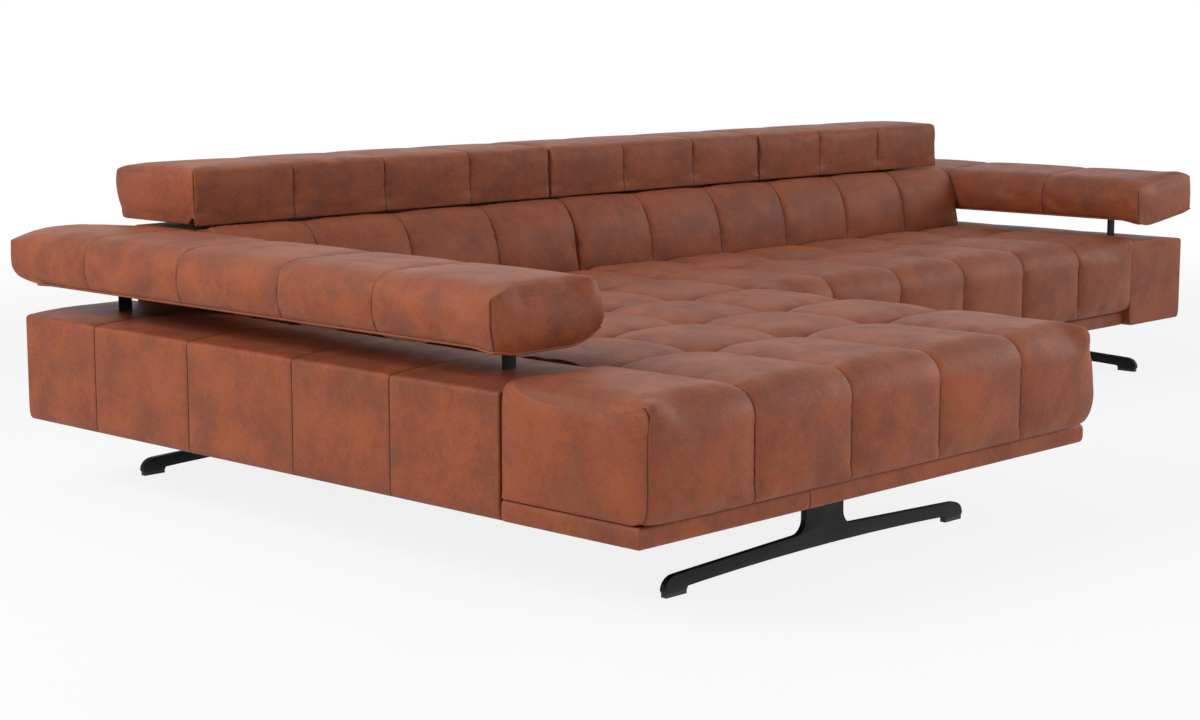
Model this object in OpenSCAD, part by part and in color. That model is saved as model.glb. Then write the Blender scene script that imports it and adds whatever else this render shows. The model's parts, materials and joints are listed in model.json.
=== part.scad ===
// L-shaped leather sofa: a chaise unit and a two-seat unit, sewn in square panels,
// with pillow arms on flat posts, three folding headrests and flat cast sled legs.
// Millimetres, +Z up, floor at z = 0, origin on the floor under the middle of the outline.
// +X runs along the back, from the chaise arm to the far arm, and -Y is the front.

/* [Sewn panels] */
// Width of one sewn panel of the seats, backs and headrests
panel_w = 290; // [270:5:310]
// Depth of one sewn row of the seats
row_d = 290; // [260:5:320]
// Depth of the front row of the seats, which rolls over the front edge
front_row_d = 395; // [370:5:430]
// Depth of the sewn seams
seam_d = 9; // [5:1:14]
// Extra depth of the tufts where two seams cross
tuft_d = 7; // [4:1:14]

/* [Units] */
// Panels across the chaise seat beside its arm
chaise_panels = 4; // [3:1:5]
// Panels across the two-seat unit
main_panels = 6; // [5:1:7]
// Depth of the chaise plinth from the back face
chaise_depth = 1936; // [1850:10:2050]
// Depth of the two-seat plinth from the back face
main_depth = 985; // [960:5:1040]
// Gap between the two units, filled by the hook plates
unit_gap = 8; // [6:1:14]
// Height of the underside of the units
base_z = 156; // [130:2:180]
// Height of the leather-covered plinth boards
plinth_h = 44; // [40:1:60]
// Thickness of the plinth boards
plinth_t = 18; // [12:1:24]

/* [Seat cushions] */
// Height of the seat crown above the floor
seat_top = 432; // [415:1:450]
// Overhang of the seat cushions in front of the plinth
seat_over = 31; // [20:1:40]
// Radius of the rolled front edge of the seats
seat_roll = 62; // [45:1:80]
// Distance from the back face to the rear of the seat cushions
seat_rear = 388; // [380:1:400]

/* [Arms] */
// Width of the arm bases
arm_w = 290; // [270:5:320]
// Length of the chaise arm base
chaise_arm_l = 1581; // [1500:10:1650]
// How far the far arm base stands in front of the base of its seat
main_arm_lead = 23; // [8:1:31]
// Height of the arm bases
arm_base_h = 256; // [240:2:262]
// Panels along the chaise arm
chaise_arm_panels = 5; // [4:1:6]
// Panels along the far arm
main_arm_panels = 3; // [2:1:4]
// Height of the underside of the arm cushions
arm_cushion_z = 470; // [440:1:452]
// Thickness of the arm cushions
arm_cushion_h = 128; // [130:2:154]
// Overhang of the arm cushions over the outer side of their bases
arm_over = 8; // [4:1:14]
// Overhang of the arm cushions over the inner side of their bases
arm_in_over = 4; // [0:1:5]
// Overhang of the arm cushions behind the back face
arm_rear_over = 36; // [20:1:44]
// Width of the flat arm posts
post_w = 35; // [25:1:45]
// Thickness of the flat arm posts
post_t = 5; // [4:0.5:8]
// Depth to which the posts stand in the base and the cushion
post_seat = 60; // [40:5:80]
// Distance of the posts from the outer side of the arm base
post_inset = 170; // [140:5:190]
// Distance of the rear posts from the back face
post_rear = 150; // [120:10:250]
// Distance of the front posts from the front of the arm base
post_front = 148; // [100:5:220]

/* [Back] */
// Height of the back shells
shell_top = 594; // [585:1:596]
// Distance of the back shells from the back face
shell_rear = 15; // [8:1:20]
// Depth of the back shells at the top
shell_d = 221; // [215:1:235]
// How far the foot of the shells reaches in front of their top
shell_lean = 30; // [15:1:40]
// Thickness of the padded wall of the shells
shell_wall = 12; // [8:1:14]
// Height of the top of the back cushions
back_top = 606; // [600:1:606]
// Depth of the rounding of the back cushions from their front to their top
back_round = 91; // [70:1:96]

/* [Headrests] */
// Panels on each headrest of the two-seat unit
head_panels = 3; // [2:1:3]
// Distance of the headrest fronts from the back face
head_front = 271; // [265:1:277]
// Overhang of the headrests behind the back face
head_over = 50; // [46:1:70]
// Height of the top of the boards under the headrest cushions
head_z = 624; // [623.5:0.5:630]
// Height of the front lip of the headrest cushions
head_lip = 622; // [621.5:0.5:626]
// Height of the lower edge of the headrest cushions at their ends and rear
head_skirt = 608; // [607:1:614]
// Thickness of the headrest cushions
head_h = 120; // [100:1:130]
// Gap between neighbouring headrests
head_gap = 6; // [4:1:10]
// Thickness of the board under each headrest
head_board_t = 6; // [4:0.5:6]

/* [Headrest hinges] */
// Height of the hinge pins
pin_z = 614; // [613.5:0.5:614]
// Distance of the hinge pins behind the headrest fronts
pin_back = 10; // [9:0.5:13]
// Radius of the hinge pins
pin_r = 3; // [2.5:0.25:3.5]
// Radius of the hinge knuckles
knuckle_r = 7; // [6:0.25:7]
// Running clearance of the pins in their bores
pin_clear = 0.05; // [0.02:0.01:0.08]
// Thickness of the hinge leaves
leaf_t = 5; // [3:0.5:6]
// Distance of the hinges from the ends of the headrests
hinge_inset = 150; // [120:5:200]
// Length of the straps under the headrests
strap_l = 150; // [110:5:180]
// Width of the straps under the headrests
strap_w = 26; // [20:1:32]
// Thickness of the straps under the headrests
strap_t = 4; // [3:0.5:4]
// Length of the fixed strips inside the shells
strip_l = 150; // [100:10:180]
// Width of the fixed strips inside the shells
strip_w = 20; // [16:1:26]

/* [Legs] */
// Length of the sled legs
leg_l = 970; // [900:10:1000]
// Thickness of the sled legs
leg_t = 14; // [10:1:18]
// Height of a sled leg's bar beside the stem
leg_mid_h = 59; // [52:1:66]
// Height of a sled leg's bar at the feet
leg_tip_h = 40; // [34:1:46]
// Height of the arch under the middle of a leg
leg_arch = 24; // [18:1:28]
// Width of the stem of a leg
stem_w = 122; // [100:2:140]
// Radius of the fillets at the stem
stem_fillet = 30; // [15:1:36]
// Height of the glides under the feet
glide_h = 8; // [5:1:10]
// Length of the feet
foot_l = 62; // [50:1:75]
// Distance of the chaise front leg from the front of the frame
leg_front_inset = 160; // [136:4:236]
// Distance of the chaise rear leg from the back face
leg_rear_y = 97; // [95:1:105]
// Distance of the inner leg from the split between the units
leg_inset = 188; // [150:5:200]

/* [Unit plates] */
// Distance of the rear plates from the back face
hook_rear = 220; // [180:10:300]
// Distance from the rear plates to the front plates
hook_step = 560; // [400:10:600]
// Length of the plates
hook_l = 80; // [50:5:120]

/* [Frame] */
// Thickness of the frame rails
rail_t = 30; // [20:1:36]
// Width of the cross rails
cross_w = 70; // [50:5:90]
// Width of the boards that carry the legs
leg_board_w = 122; // [110:2:124]
// Length of the board that carries the leg under the far arm
end_board_l = 260; // [200:10:320]
// Thickness of the webbing
web_t = 2; // [1:0.5:3]
// Width of the webbing
web_w = 70; // [50:5:90]
// Thickness of the cover under the units
cover_t = 1.5; // [1:0.25:2.5]
// Thickness of the leg plates
plate_t = 6; // [4:0.5:7]

/* [Hidden] */

LEATHER = "sienna";
WOOD = "burlywood";
BLACK = [0.08, 0.08, 0.09];
CLOTH = [0.15, 0.15, 0.16];

// Small gap that keeps neighbouring soft pieces apart
slack = 0.5;

// Places across the sofa
total_w = 2 * arm_w + (chaise_panels + main_panels) * panel_w;
x_left = -total_w / 2;
x_seat = x_left + arm_w;
x_split = x_seat + chaise_panels * panel_w;
x_arm = x_split + main_panels * panel_w;
x_right = x_arm + arm_w;
chaise_x = [x_seat, x_split - unit_gap / 2];
main_x = [x_split + unit_gap / 2, x_arm];

// Span of each back shell, clear of the arm cushions
arm_clear = arm_in_over + 2;
chaise_shell_x = [x_seat + arm_clear, chaise_x[1]];
main_shell_x = [main_x[0], x_arm - arm_clear];

// Places from front to back
y_back = (chaise_depth + seat_over - head_over) / 2;
y_seat = y_back - seat_rear;
chaise_front = y_back - chaise_depth;
main_front = y_back - main_depth;
main_arm_l = main_depth + main_arm_lead;
chaise_arm_front = y_back - chaise_arm_l;
shell_y = y_back - shell_rear;
shell_front = shell_y - shell_d;

// Heights
seat_z = base_z + plinth_h;
web_z = seat_z - web_t;
rail_z = base_z + 12;
cover_z = rail_z - cover_t;
plate_z = cover_z - plate_t;

// Headrest spans and hinge places
left_head = [x_seat + 2, x_split - head_gap / 2];
middle_head = [x_split + head_gap / 2, x_split + head_panels * panel_w - head_gap / 2];
right_head = [x_split + head_panels * panel_w + head_gap / 2, x_arm - 2];
function hinge_xs(span) = [span[0] + hinge_inset, span[1] - hinge_inset];
pin_y = y_back - head_front + pin_back;

// Evenly spaced values from a to b, both included
function spread(a, b, n) = [for (i = [0 : n]) a + (b - a) * i / n];

// Height of a sewn panel across its width: 0 on a seam, 1 in the middle
function puff(u) = 1 - pow(abs(2 * u - 1), 3);

// As puff, without the seam on the outer side of a first or last panel
function puff_first(u) = u < 0.5 ? 1 : puff(u);
function puff_last(u) = u > 0.5 ? 1 : puff(u);

// A board between two values on each axis
module board(x, y, z) {
    translate([x[0], y[0], z[0]])
        cube([x[1] - x[0], y[1] - y[0], z[1] - z[0]]);
}

// Sewn forms. A form is a closed section, repeated at stations along X.
// A section point is [y, z, give, row]: give says how far seams and ends draw it in,
// and row is the puff of the sewn row that it lies in.
// A station is [x, puff, inset, shrink].

// Unit vector that points into the section at point j
function inward(path, j) =
    let (n = len(path), a = path[(j + n - 1) % n], b = path[(j + 1) % n],
         t = [b[0] - a[0], b[1] - a[1]])
    [-t[1], t[0]] / max(norm(t), 0.001);

// Middle of a section
function middle(path) =
    let (n = len(path))
    [for (k = [0, 1]) [for (p = path) p[k]] * [for (p = path) 1] / n];

// Depth to which point p is drawn in at station s
function drawn(p, s) =
    p[2] * (seam_d * (1 - s[1] * p[3]) + tuft_d * (1 - s[1]) * (1 - p[3]) + s[2]);

// Ring of points of one station
function ring(path, s) =
    let (c = middle(path))
    [for (j = [0 : len(path) - 1])
        let (q = [path[j][0], path[j][1]] + inward(path, j) * drawn(path[j], s),
             r = c + (q - c) * s[3])
        [s[0], r[0], r[1]]];

// Rings that round and close an end at x, with the body on side dir
function end_stations(x, dir, r, bulge) =
    bulge > 0
    ? [[x, 1, r, 0.45], [x + dir * bulge * 0.4, 1, r, 0.82], [x + dir * bulge, 1, r, 1],
       [x + dir * (bulge + r * 0.3), 1, r * 0.29, 1], [x + dir * (bulge + r), 1, 0, 1]]
    : [[x, 1, r, 1], [x + dir * r * 0.3, 1, r * 0.29, 1], [x + dir * r, 1, 0, 1]];

// Stations between lo and hi, with n panels of width w that start at grid
function stations(lo, hi, grid, n, w, steps, r, bulge_lo, bulge_hi) =
    concat(
        end_stations(lo, 1, r, bulge_lo),
        [for (p = [0 : n - 1], k = [0 : steps - 1])
            let (u = k / steps, x = grid + (p + u) * w,
                 h = p == 0 ? puff_first(u) : p == n - 1 ? puff_last(u) : puff(u))
            if (x > lo + bulge_lo + r + 3 && x < hi - bulge_hi - r - 3) [x, h, 0, 1]],
        let (e = end_stations(hi, -1, r, bulge_hi)) [for (i = [len(e) - 1 : -1 : 0]) e[i]]);

// Closed skin over the rings of all stations
module sewn(path, st) {
    n = len(path);
    m = len(st);
    rings = [for (s = st) each ring(path, s)];
    sides = [for (i = [0 : m - 2], j = [0 : n - 1])
        let (a = i * n + j, b = i * n + (j + 1) % n, c = b + n, d = a + n)
        each [[a, b, c], [a, c, d]]];
    caps = [[for (j = [n - 1 : -1 : 0]) j], [for (j = [0 : n - 1]) (m - 1) * n + j]];
    polyhedron(points = rings, faces = concat(sides, caps));
}

// Puff of the seat row at distance d behind the front edge, on a seat of depth total
function row_puff(d, total) =
    let (k = (d - front_row_d) / row_d, last = max(1, round((total - front_row_d) / row_d)))
    d <= front_row_d ? puff_first(d / front_row_d)
    : k >= last - 0.5 ? 1
    : puff(k - floor(k));

// Section of a seat cushion from its front at y_f to its rear at y_r
function seat_path(y_f, y_r) =
    let (total = y_r - y_f, roll = seat_roll, top = seat_top,
         inner = [for (k = [0 : 3]) seat_roll + (front_row_d - seat_roll) * k / 4],
         rows = max(1, round((total - front_row_d) / row_d)),
         outer = [for (k = [0 : rows * 4 - 1])
             let (d = front_row_d + row_d * k / 4) if (d < total - 45) d],
         ds = concat(inner, outer))
    concat(
        [[y_r, seat_z, 0, 1], [y_r, top - 50, 0, 1], [y_r - 10, top - 16, 0.3, 1]],
        [for (i = [len(ds) - 1 : -1 : 0]) [y_f + ds[i], top, 1, row_puff(ds[i], total)]],
        [for (a = [22.5 : 22.5 : 67.5]) [y_f + roll - roll * sin(a), top - roll + roll * cos(a), 1, 1]],
        [[y_f, top - roll, 1, 1], [y_f, (top - roll + seat_z) / 2, 1, 1],
         [y_f + 3, seat_z + 22, 1, 1], [y_f + 16, seat_z, 0, 1]]);

// Section of a back cushion, which stands on the platform behind the seat
function back_path() =
    let (rear_top = shell_front - slack, rear_foot = rear_top - shell_lean, front = y_seat + slack,
         top = back_top, low = seat_top - 8)
    concat(
        [[rear_foot, seat_z, 0, 1], [rear_top, shell_top - 2, 0, 1], [rear_top - 8, top - 2, 0.2, 1],
         [rear_top - 30, top, 0.5, 1]],
        [for (a = [0 : 15 : 75])
            [front + back_round * (1 - sin(a)), low + (top - low) * cos(a), 1, 1]],
        [[front, low, 0.6, 1], [front, low - 22, 0, 1], [front, seat_z, 0, 1]]);

// Section of a headrest: a shallow lip in front, a deeper skirt behind it, tapered at the rear
function head_path() =
    let (front = y_back - head_front, rear = y_back + head_over, low = head_z, top = head_z + head_h,
         r = 8, taper = 32)
    concat(
        [[board_front + 8, head_skirt, 0, 1], [rear - taper, head_skirt, 0, 1], [rear - 8, low + 62, 1, 1],
         [rear, low + 86, 1, 1], [rear - 9, top - 14, 1, 1], [rear - 36, top - 4, 1, 1],
         [(front + rear) / 2, top, 1, 1], [front + 70, top, 1, 1], [front + 30, top - 3, 1, 1]],
        [for (a = [30 : 30 : 90]) [front + 14 - 14 * sin(a), top - 18 + 14 * cos(a), 1, 1]],
        [[front, (low + top) / 2, 1, 1]],
        [for (a = [0 : 45 : 90]) [front + r - r * cos(a), head_lip + r - r * sin(a), a < 80 ? 0.6 : 0, 1]],
        [[board_front - 1, head_lip, 0, 1]]);

// Section of an arm cushion of width w: flat ends of a pillow, full above, rounded below
function arm_path(w) =
    let (low = arm_cushion_z, h = arm_cushion_h, seam = low + 9, top = low + h)
    concat(
        [for (a = [0 : 30 : 150])
            let (s = sin(a), c = cos(a))
            [w / 2 * sign(c) * pow(abs(c), 0.35), seam + (top - seam) * pow(s, 0.55), 1, 1]],
        [[-w / 2, seam + 12, 1, 1], [-w / 2 + 4, seam - 4, 0.5, 1], [-w / 2 + 30, low + 1, 0.3, 1],
         [-25, low, 0, 1], [25, low, 0, 1], [w / 2 - 30, low + 1, 0.3, 1], [w / 2 - 4, seam - 4, 0.5, 1]]);

// Section of an arm base of width w: an upright block with a crowned top
function arm_base_path(w) =
    let (top = base_z + arm_base_h, edge = top - 12, r = 12)
    [[w / 2, base_z, 0, 1], [w / 2, base_z + arm_base_h / 2, 1, 1], [w / 2, edge - r, 1, 1],
     [w / 2 - 4, edge - 3, 1, 1], [w / 2 - r, edge + 1, 1, 1], [w / 4, top - 3, 1, 1], [20, top, 0.4, 1],
     [-20, top, 0.4, 1], [-w / 4, top - 3, 1, 1], [-w / 2 + r, edge + 1, 1, 1],
     [-w / 2 + 4, edge - 3, 1, 1], [-w / 2, edge - r, 1, 1], [-w / 2, base_z + arm_base_h / 2, 1, 1],
     [-w / 2, base_z, 0, 1]];

// Seat cushions

module chaise_seat_cushion() {
    color(LEATHER)
        sewn(seat_path(chaise_front - seat_over, y_seat - slack),
             stations(chaise_x[0] + slack, chaise_x[1], x_seat, chaise_panels, panel_w, 4, 14, 0, 10));
}

// The corner ahead of the arm, sewn to the chaise seat along the first seam
module chaise_corner_cushion() {
    color(LEATHER)
        sewn(seat_path(chaise_front - seat_over, chaise_arm_front - 2 * slack),
             stations(x_left, x_seat - slack, x_left, 1, arm_w, 4, 14, 8, 0));
}

module main_seat_cushion() {
    color(LEATHER)
        sewn(seat_path(main_front - seat_over, y_seat - slack),
             stations(main_x[0], main_x[1] - slack, x_split, main_panels, panel_w, 4, 14, 8, 6));
}

// Back cushions

module chaise_back_cushion() {
    color(LEATHER)
        sewn(back_path(),
             stations(x_seat + 16, chaise_x[1] + 1.5, x_seat, chaise_panels, panel_w, 4, 12, 8, 6));
}

module main_back_cushion() {
    color(LEATHER)
        sewn(back_path(),
             stations(main_x[0] - 1.5, main_x[1] - arm_clear, x_split, main_panels, panel_w, 4, 12, 6, 8));
}

// Arms. They are drawn along X and turned, so that they run from the back to the front.

module along_y(x) {
    translate([x, y_back, 0]) rotate([0, 0, -90]) children();
}

// Slots or bars of the two posts of an arm of length l
module posts(l, w, t, z) {
    for (y = [post_rear, l - post_front])
        translate([y - t / 2, -w / 2, z[0]]) cube([t, w, z[1] - z[0]]);
}

base_top = base_z + arm_base_h;
post_z = [base_top - post_seat, arm_cushion_z + post_seat];

// Arm base: a block in sewn leather with a recess below for its rails
module arm_base(l, panels, shift) {
    color(LEATHER) difference() {
        sewn(arm_base_path(arm_w), stations(0, l, 0, panels, l / panels, 2, 10, 4, 4));
        translate([rail_t, -arm_w / 2 + rail_t, base_z - 1])
            cube([l - 2 * rail_t, arm_w - 2 * rail_t, seat_z - base_z + 1]);
        translate([0, shift, 0]) posts(l, post_w + 1, post_t + 1, [post_z[0] - 0.3, base_top + 1]);
    }
}

module arm_cushion(l, panels, shift) {
    color(LEATHER) difference() {
        sewn(arm_path(arm_w + arm_over + arm_in_over), stations(0, l, 0, panels, l / panels, 4, 14, 10, 10));
        translate([arm_rear_over, shift, 0])
            posts(l - arm_rear_over - 6, post_w + 1, post_t + 1, [arm_cushion_z - 1, post_z[1] + 0.3]);
    }
}

// Distance of the posts from the middle of the arm base
post_shift = post_inset - arm_w / 2;
arm_mid = (arm_over - arm_in_over) / 2;

module chaise_arm_base() {
    along_y(x_left + arm_w / 2) arm_base(chaise_arm_l, chaise_arm_panels, post_shift);
}

module chaise_arm_cushion() {
    translate([-arm_mid, arm_rear_over, 0]) along_y(x_left + arm_w / 2)
        arm_cushion(chaise_arm_l + arm_rear_over + 6, chaise_arm_panels, post_shift + arm_mid);
}

module chaise_arm_posts() {
    color(BLACK) along_y(x_left + post_inset) posts(chaise_arm_l, post_w, post_t, post_z);
}

module main_arm_base() {
    along_y(x_arm + arm_w / 2) arm_base(main_arm_l, main_arm_panels, -post_shift);
}

module main_arm_cushion() {
    translate([arm_mid, arm_rear_over, 0]) along_y(x_arm + arm_w / 2)
        arm_cushion(main_arm_l + arm_rear_over + 6, main_arm_panels, -post_shift - arm_mid);
}

module main_arm_posts() {
    color(BLACK) along_y(x_right - post_inset) posts(main_arm_l, post_w, post_t, post_z);
}

// Frame boards

// Cross rails between the side rails of a unit, with free places for the leg boards
module cross_rails(x, ys) {
    for (y = ys) board(x, [y - cross_w / 2, y + cross_w / 2], [rail_z, web_z]);
}

// Holes for the four bolts of a leg plate at the middle of a board
bolt_r = 4;
bolt_dx = 65;
bolt_dy = 25;
module bolt_places() {
    for (i = [-1, 1], j = [-1, 1]) translate([i * bolt_dx, j * bolt_dy, 0]) children();
}

// Board over x and y that carries the leg at p, turned with the leg
module leg_board(x, y, p, turn) {
    difference() {
        board(x, y, [rail_z, web_z]);
        bolt_holes(p, turn, [rail_z - 1, web_z - 5]);
    }
}

module bolt_holes(p, turn, z) {
    translate([p[0], p[1], z[0]]) rotate([0, 0, turn]) bolt_places()
        cylinder(h = z[1] - z[0], r = bolt_r + 0.3, $fn = 24);
}

chaise_rail_x = [x_seat + 1, chaise_x[1] - plinth_t];
main_rail_x = [main_x[0], main_x[1] - 1];
rear_rail_y = shell_y - shell_wall - 1;
chaise_front_in = chaise_front + plinth_t;
main_front_in = main_front + plinth_t;

module side_rails(x, y) {
    color(WOOD) {
        board([x[0], x[0] + rail_t], y, [rail_z, web_z]);
        board([x[1] - rail_t, x[1]], y, [rail_z, web_z]);
    }
}

module chaise_side_rails() {
    side_rails(chaise_rail_x, [chaise_front_in, rear_rail_y]);
    color(WOOD) board([x_left + plinth_t, x_left + plinth_t + rail_t],
        [chaise_front_in, chaise_arm_front - 2], [rail_z, web_z]);
}

inner_chaise_x = [chaise_rail_x[0] + rail_t, chaise_rail_x[1] - rail_t];
inner_main_x = [main_rail_x[0] + rail_t, main_rail_x[1] - rail_t];

// Places of the four legs
chaise_mid_x = (x_left + chaise_x[1]) / 2;
main_mid_y = y_back - main_depth / 2;
front_leg_at = [chaise_mid_x, chaise_front + leg_front_inset];
rear_leg_at = [chaise_mid_x, y_back - leg_rear_y];
inner_leg_at = [main_x[0] + leg_inset, main_mid_y];
end_leg_at = [x_arm + 0.352 * arm_w, main_mid_y];

// Leg boards at the front and rear, with cross rails between them
module chaise_cross_rails() {
    ys = spread(rear_leg_at[1], front_leg_at[1], 5);
    color(WOOD) {
        for (p = [front_leg_at, rear_leg_at])
            leg_board(inner_chaise_x, [p[1] - leg_board_w / 2, p[1] + leg_board_w / 2], p, 0);
        cross_rails(inner_chaise_x, [for (i = [1 : 4]) ys[i]]);
        board([x_left + plinth_t + rail_t, chaise_rail_x[0]], [chaise_front_in, chaise_front_in + cross_w],
            [rail_z, web_z]);
    }
}

module chaise_front_plinth() {
    color(LEATHER) board([x_left, chaise_x[1]], [chaise_front, chaise_front_in], [base_z, seat_z]);
}

module chaise_side_plinths() {
    color(LEATHER) {
        board([x_left, x_left + plinth_t], [chaise_front_in, chaise_arm_front - slack], [base_z, seat_z]);
        board([chaise_x[1] - plinth_t, chaise_x[1]], [chaise_front_in, rear_rail_y], [base_z, seat_z]);
    }
}

// Cloth under a unit, with holes for the bolts of the legs at ps
module under_cover(x, y, ps, turn) {
    color(CLOTH) difference() {
        board(x, y, [cover_z, rail_z]);
        for (p = ps) bolt_holes(p, turn, [cover_z - 1, rail_z + 1]);
    }
}

// Room for the rails in the foot of an arm base at x, with length l
function recess_x(x) = [x + rail_t + 0.5, x + arm_w - rail_t - 0.5];
function recess_y(l) = [y_back - l + rail_t + 0.5, y_back - rail_t - 0.5];

module chaise_under_cover() {
    under_cover(chaise_rail_x, [chaise_front_in, rear_rail_y], [front_leg_at, rear_leg_at], 0);
    under_cover([x_left + plinth_t, chaise_rail_x[0] - 0.5], [chaise_front_in, chaise_arm_front - 1], [], 0);
    under_cover(recess_x(x_left), recess_y(chaise_arm_l), [], 0);
}

module webbing(x, y_lo, y_hi) {
    n = floor((y_hi - y_lo - web_w) / (web_w * 1.6));
    color(CLOTH) for (y = spread(y_lo, y_hi - web_w, n)) board(x, [y, y + web_w], [web_z, seat_z]);
}

web_rear_y = shell_front - shell_lean + shell_wall + 4;

module chaise_webbing() {
    webbing(chaise_rail_x, chaise_front_in + 20, web_rear_y);
}

module main_side_rails() {
    side_rails(main_rail_x, [main_front_in, rear_rail_y]);
}

leg_board_x = [inner_leg_at[0] - leg_board_w / 2, inner_leg_at[0] + leg_board_w / 2];

module main_cross_rails() {
    ys = spread(main_front_in + cross_w / 2, rear_rail_y - cross_w / 2, 3);
    color(WOOD) {
        cross_rails(inner_main_x, [ys[0], ys[3]]);
        cross_rails([leg_board_x[1], inner_main_x[1]], [ys[1], ys[2]]);
    }
}

module main_leg_board() {
    color(WOOD) leg_board(leg_board_x, [main_front_in + cross_w, rear_rail_y - cross_w], inner_leg_at, 90);
}

module main_front_plinth() {
    color(LEATHER) board(main_x, [main_front, main_front_in], [base_z, seat_z]);
}

module main_under_cover() {
    under_cover(main_rail_x, [main_front_in, rear_rail_y], [inner_leg_at], 90);
    under_cover(recess_x(x_arm), recess_y(main_arm_l), [end_leg_at], 90);
}

module main_webbing() {
    webbing(main_rail_x, main_front_in + 20, web_rear_y);
}

// Rails inside an arm base that runs forward for length l
module arm_rails(x, l) {
    color(WOOD) {
        board([recess_x(x)[0], x + 2 * rail_t], recess_y(l), [rail_z, seat_z]);
        board([x + arm_w - 2 * rail_t, recess_x(x)[1]], recess_y(l), [rail_z, seat_z]);
    }
}

module chaise_arm_rails() {
    arm_rails(x_left, chaise_arm_l);
}

module main_arm_rails() {
    arm_rails(x_arm, main_arm_l);
    color(WOOD) leg_board([x_arm + 2 * rail_t, x_arm + arm_w - 2 * rail_t],
        [main_mid_y - end_board_l / 2, main_mid_y + end_board_l / 2], end_leg_at, 90);
}

// Backs

// Outline of a back shell in the Y-Z plane
function shell_outline(wall) =
    let (rear = shell_y - wall, front = shell_front + wall, foot = front - shell_lean,
         top = shell_top - wall, r = 14)
    concat(
        [[rear, base_z]],
        [for (a = [0 : 30 : 90]) [rear - r + r * cos(a), top - r + r * sin(a)]],
        [for (a = [90 : 30 : 180]) [front + r + r * cos(a), top - r + r * sin(a)]],
        [[foot, seat_z], [foot + 40, seat_z], [rear - 12, seat_z], [rear - 12, base_z]]);

// Inside of a back shell, open below
function shell_inside() =
    let (w = shell_wall, rear = shell_y - w, front = shell_front + w, top = shell_top - w)
    [[rear, base_z - 1], [rear, top], [front, top], [front - shell_lean, seat_z - 1],
     [front - shell_lean, base_z - 1]];

module upright(x0, x1) {
    translate([x0, 0, 0]) rotate([90, 0, 90]) linear_extrude(x1 - x0) children();
}

module back_shell(x, hinges) {
    color(LEATHER) difference() {
        upright(x[0], x[1]) polygon(shell_outline(0));
        upright(x[0] + shell_wall, x[1] - shell_wall) polygon(shell_inside());
        for (h = hinges)
            board([h - slack, h + leaf_t + slack], [strip_y[0] - 1, strip_y[1] + 1],
                [shell_top - 40, shell_top + 1]);
    }
}

// Place of the fixed strips of the hinge brackets, inside the shell
strip_y = [shell_front + shell_wall + 2, shell_front + shell_wall + 2 + strip_w];
stile_w = 40;
stile_y = [shell_front + shell_wall + 2, shell_y - shell_wall - 3];
stile_top = shell_top - shell_wall - 12;

module stiles(xs) {
    color(WOOD) for (x = xs) board([x - stile_w, x], stile_y, [web_z, stile_top]);
}

module top_rail(x) {
    color(WOOD) board([x[0] + shell_wall + 1, x[1] - shell_wall - 1], [strip_y[1] + 4, stile_y[1]],
        [stile_top, shell_top - shell_wall]);
}

left_hinges = hinge_xs(left_head);
middle_hinges = hinge_xs(middle_head);
right_hinges = hinge_xs(right_head);

module chaise_back_stiles() {
    stiles(spread(left_hinges[0], left_hinges[1], 3));
}

module chaise_back_top_rail() {
    top_rail(chaise_shell_x);
}

module chaise_back_shell() {
    back_shell(chaise_shell_x, left_hinges);
}

module main_back_stiles() {
    stiles(spread(middle_hinges[0], middle_hinges[1], 2));
    stiles(spread(right_hinges[0], right_hinges[1], 2));
}

module main_back_top_rail() {
    top_rail(main_shell_x);
}

module main_back_shell() {
    back_shell(main_shell_x, concat(middle_hinges, right_hinges));
}

// Headrests

board_front = pin_y + knuckle_r + 4;

board_rear = y_back - 6;
board_inset = 14;

// Headrest cushion, with a pocket below for its board and straps
module headrest_cushion(span, grid, n) {
    color(LEATHER) difference() {
        sewn(head_path(), stations(span[0], span[1], grid, n, panel_w, 4, 12, 10, 10));
        board([span[0] + board_inset - slack, span[1] - board_inset + slack],
            [board_front - slack, board_rear + slack], [head_skirt - 1, head_z]);
    }
}

module headrest_board(span) {
    color(CLOTH) board([span[0] + board_inset, span[1] - board_inset], [board_front, board_rear],
        [strap_z, head_z]);
}

// Undersides of the headrest boards, and the necks of the fixed leaves below them
strap_z = head_z - head_board_t;
neck_top = strap_z - 1;
neck_low = max(pin_z - knuckle_r + 1, back_top + 1);

module at_pin() {
    translate([pin_y, pin_z]) children();
}

// Fixed leaf: a strip on the stile, a neck over the back cushion, and the pin
module hinge_bracket(x) {
    upright(x, x + leaf_t) {
        translate([strip_y[0], shell_top - strip_l]) square([strip_w, neck_top - shell_top + strip_l]);
        translate([pin_y, neck_low]) square([strip_y[1] - pin_y, neck_top - neck_low]);
        at_pin() circle(r = knuckle_r, $fn = 48);
    }
    upright(x + leaf_t, x + 2 * leaf_t + 0.8) at_pin() circle(r = pin_r, $fn = 48);
    upright(x + 2 * leaf_t + 0.8, x + 2 * leaf_t + 3) at_pin() circle(r = pin_r + 2, $fn = 48);
}

// Moving leaf: a knuckle with the bore, and a strap flat under the headrest board
module hinge_arm(x) {
    difference() {
        union() {
            upright(x + leaf_t + 0.4, x + 2 * leaf_t + 0.4) {
                at_pin() circle(r = knuckle_r, $fn = 48);
                translate([pin_y, strap_z - 2 * strap_t]) square([60, 2 * strap_t]);
            }
            board([x + leaf_t + 0.4, x + leaf_t + 0.4 + strap_w],
                [board_front + 2, board_front + 2 + strap_l], [strap_z - strap_t, strap_z]);
        }
        upright(x + leaf_t, x + 2 * leaf_t + 1) at_pin() circle(r = pin_r + pin_clear, $fn = 48);
    }
}

module hinge_brackets(xs) {
    color(BLACK) for (x = xs) hinge_bracket(x);
}

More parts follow.
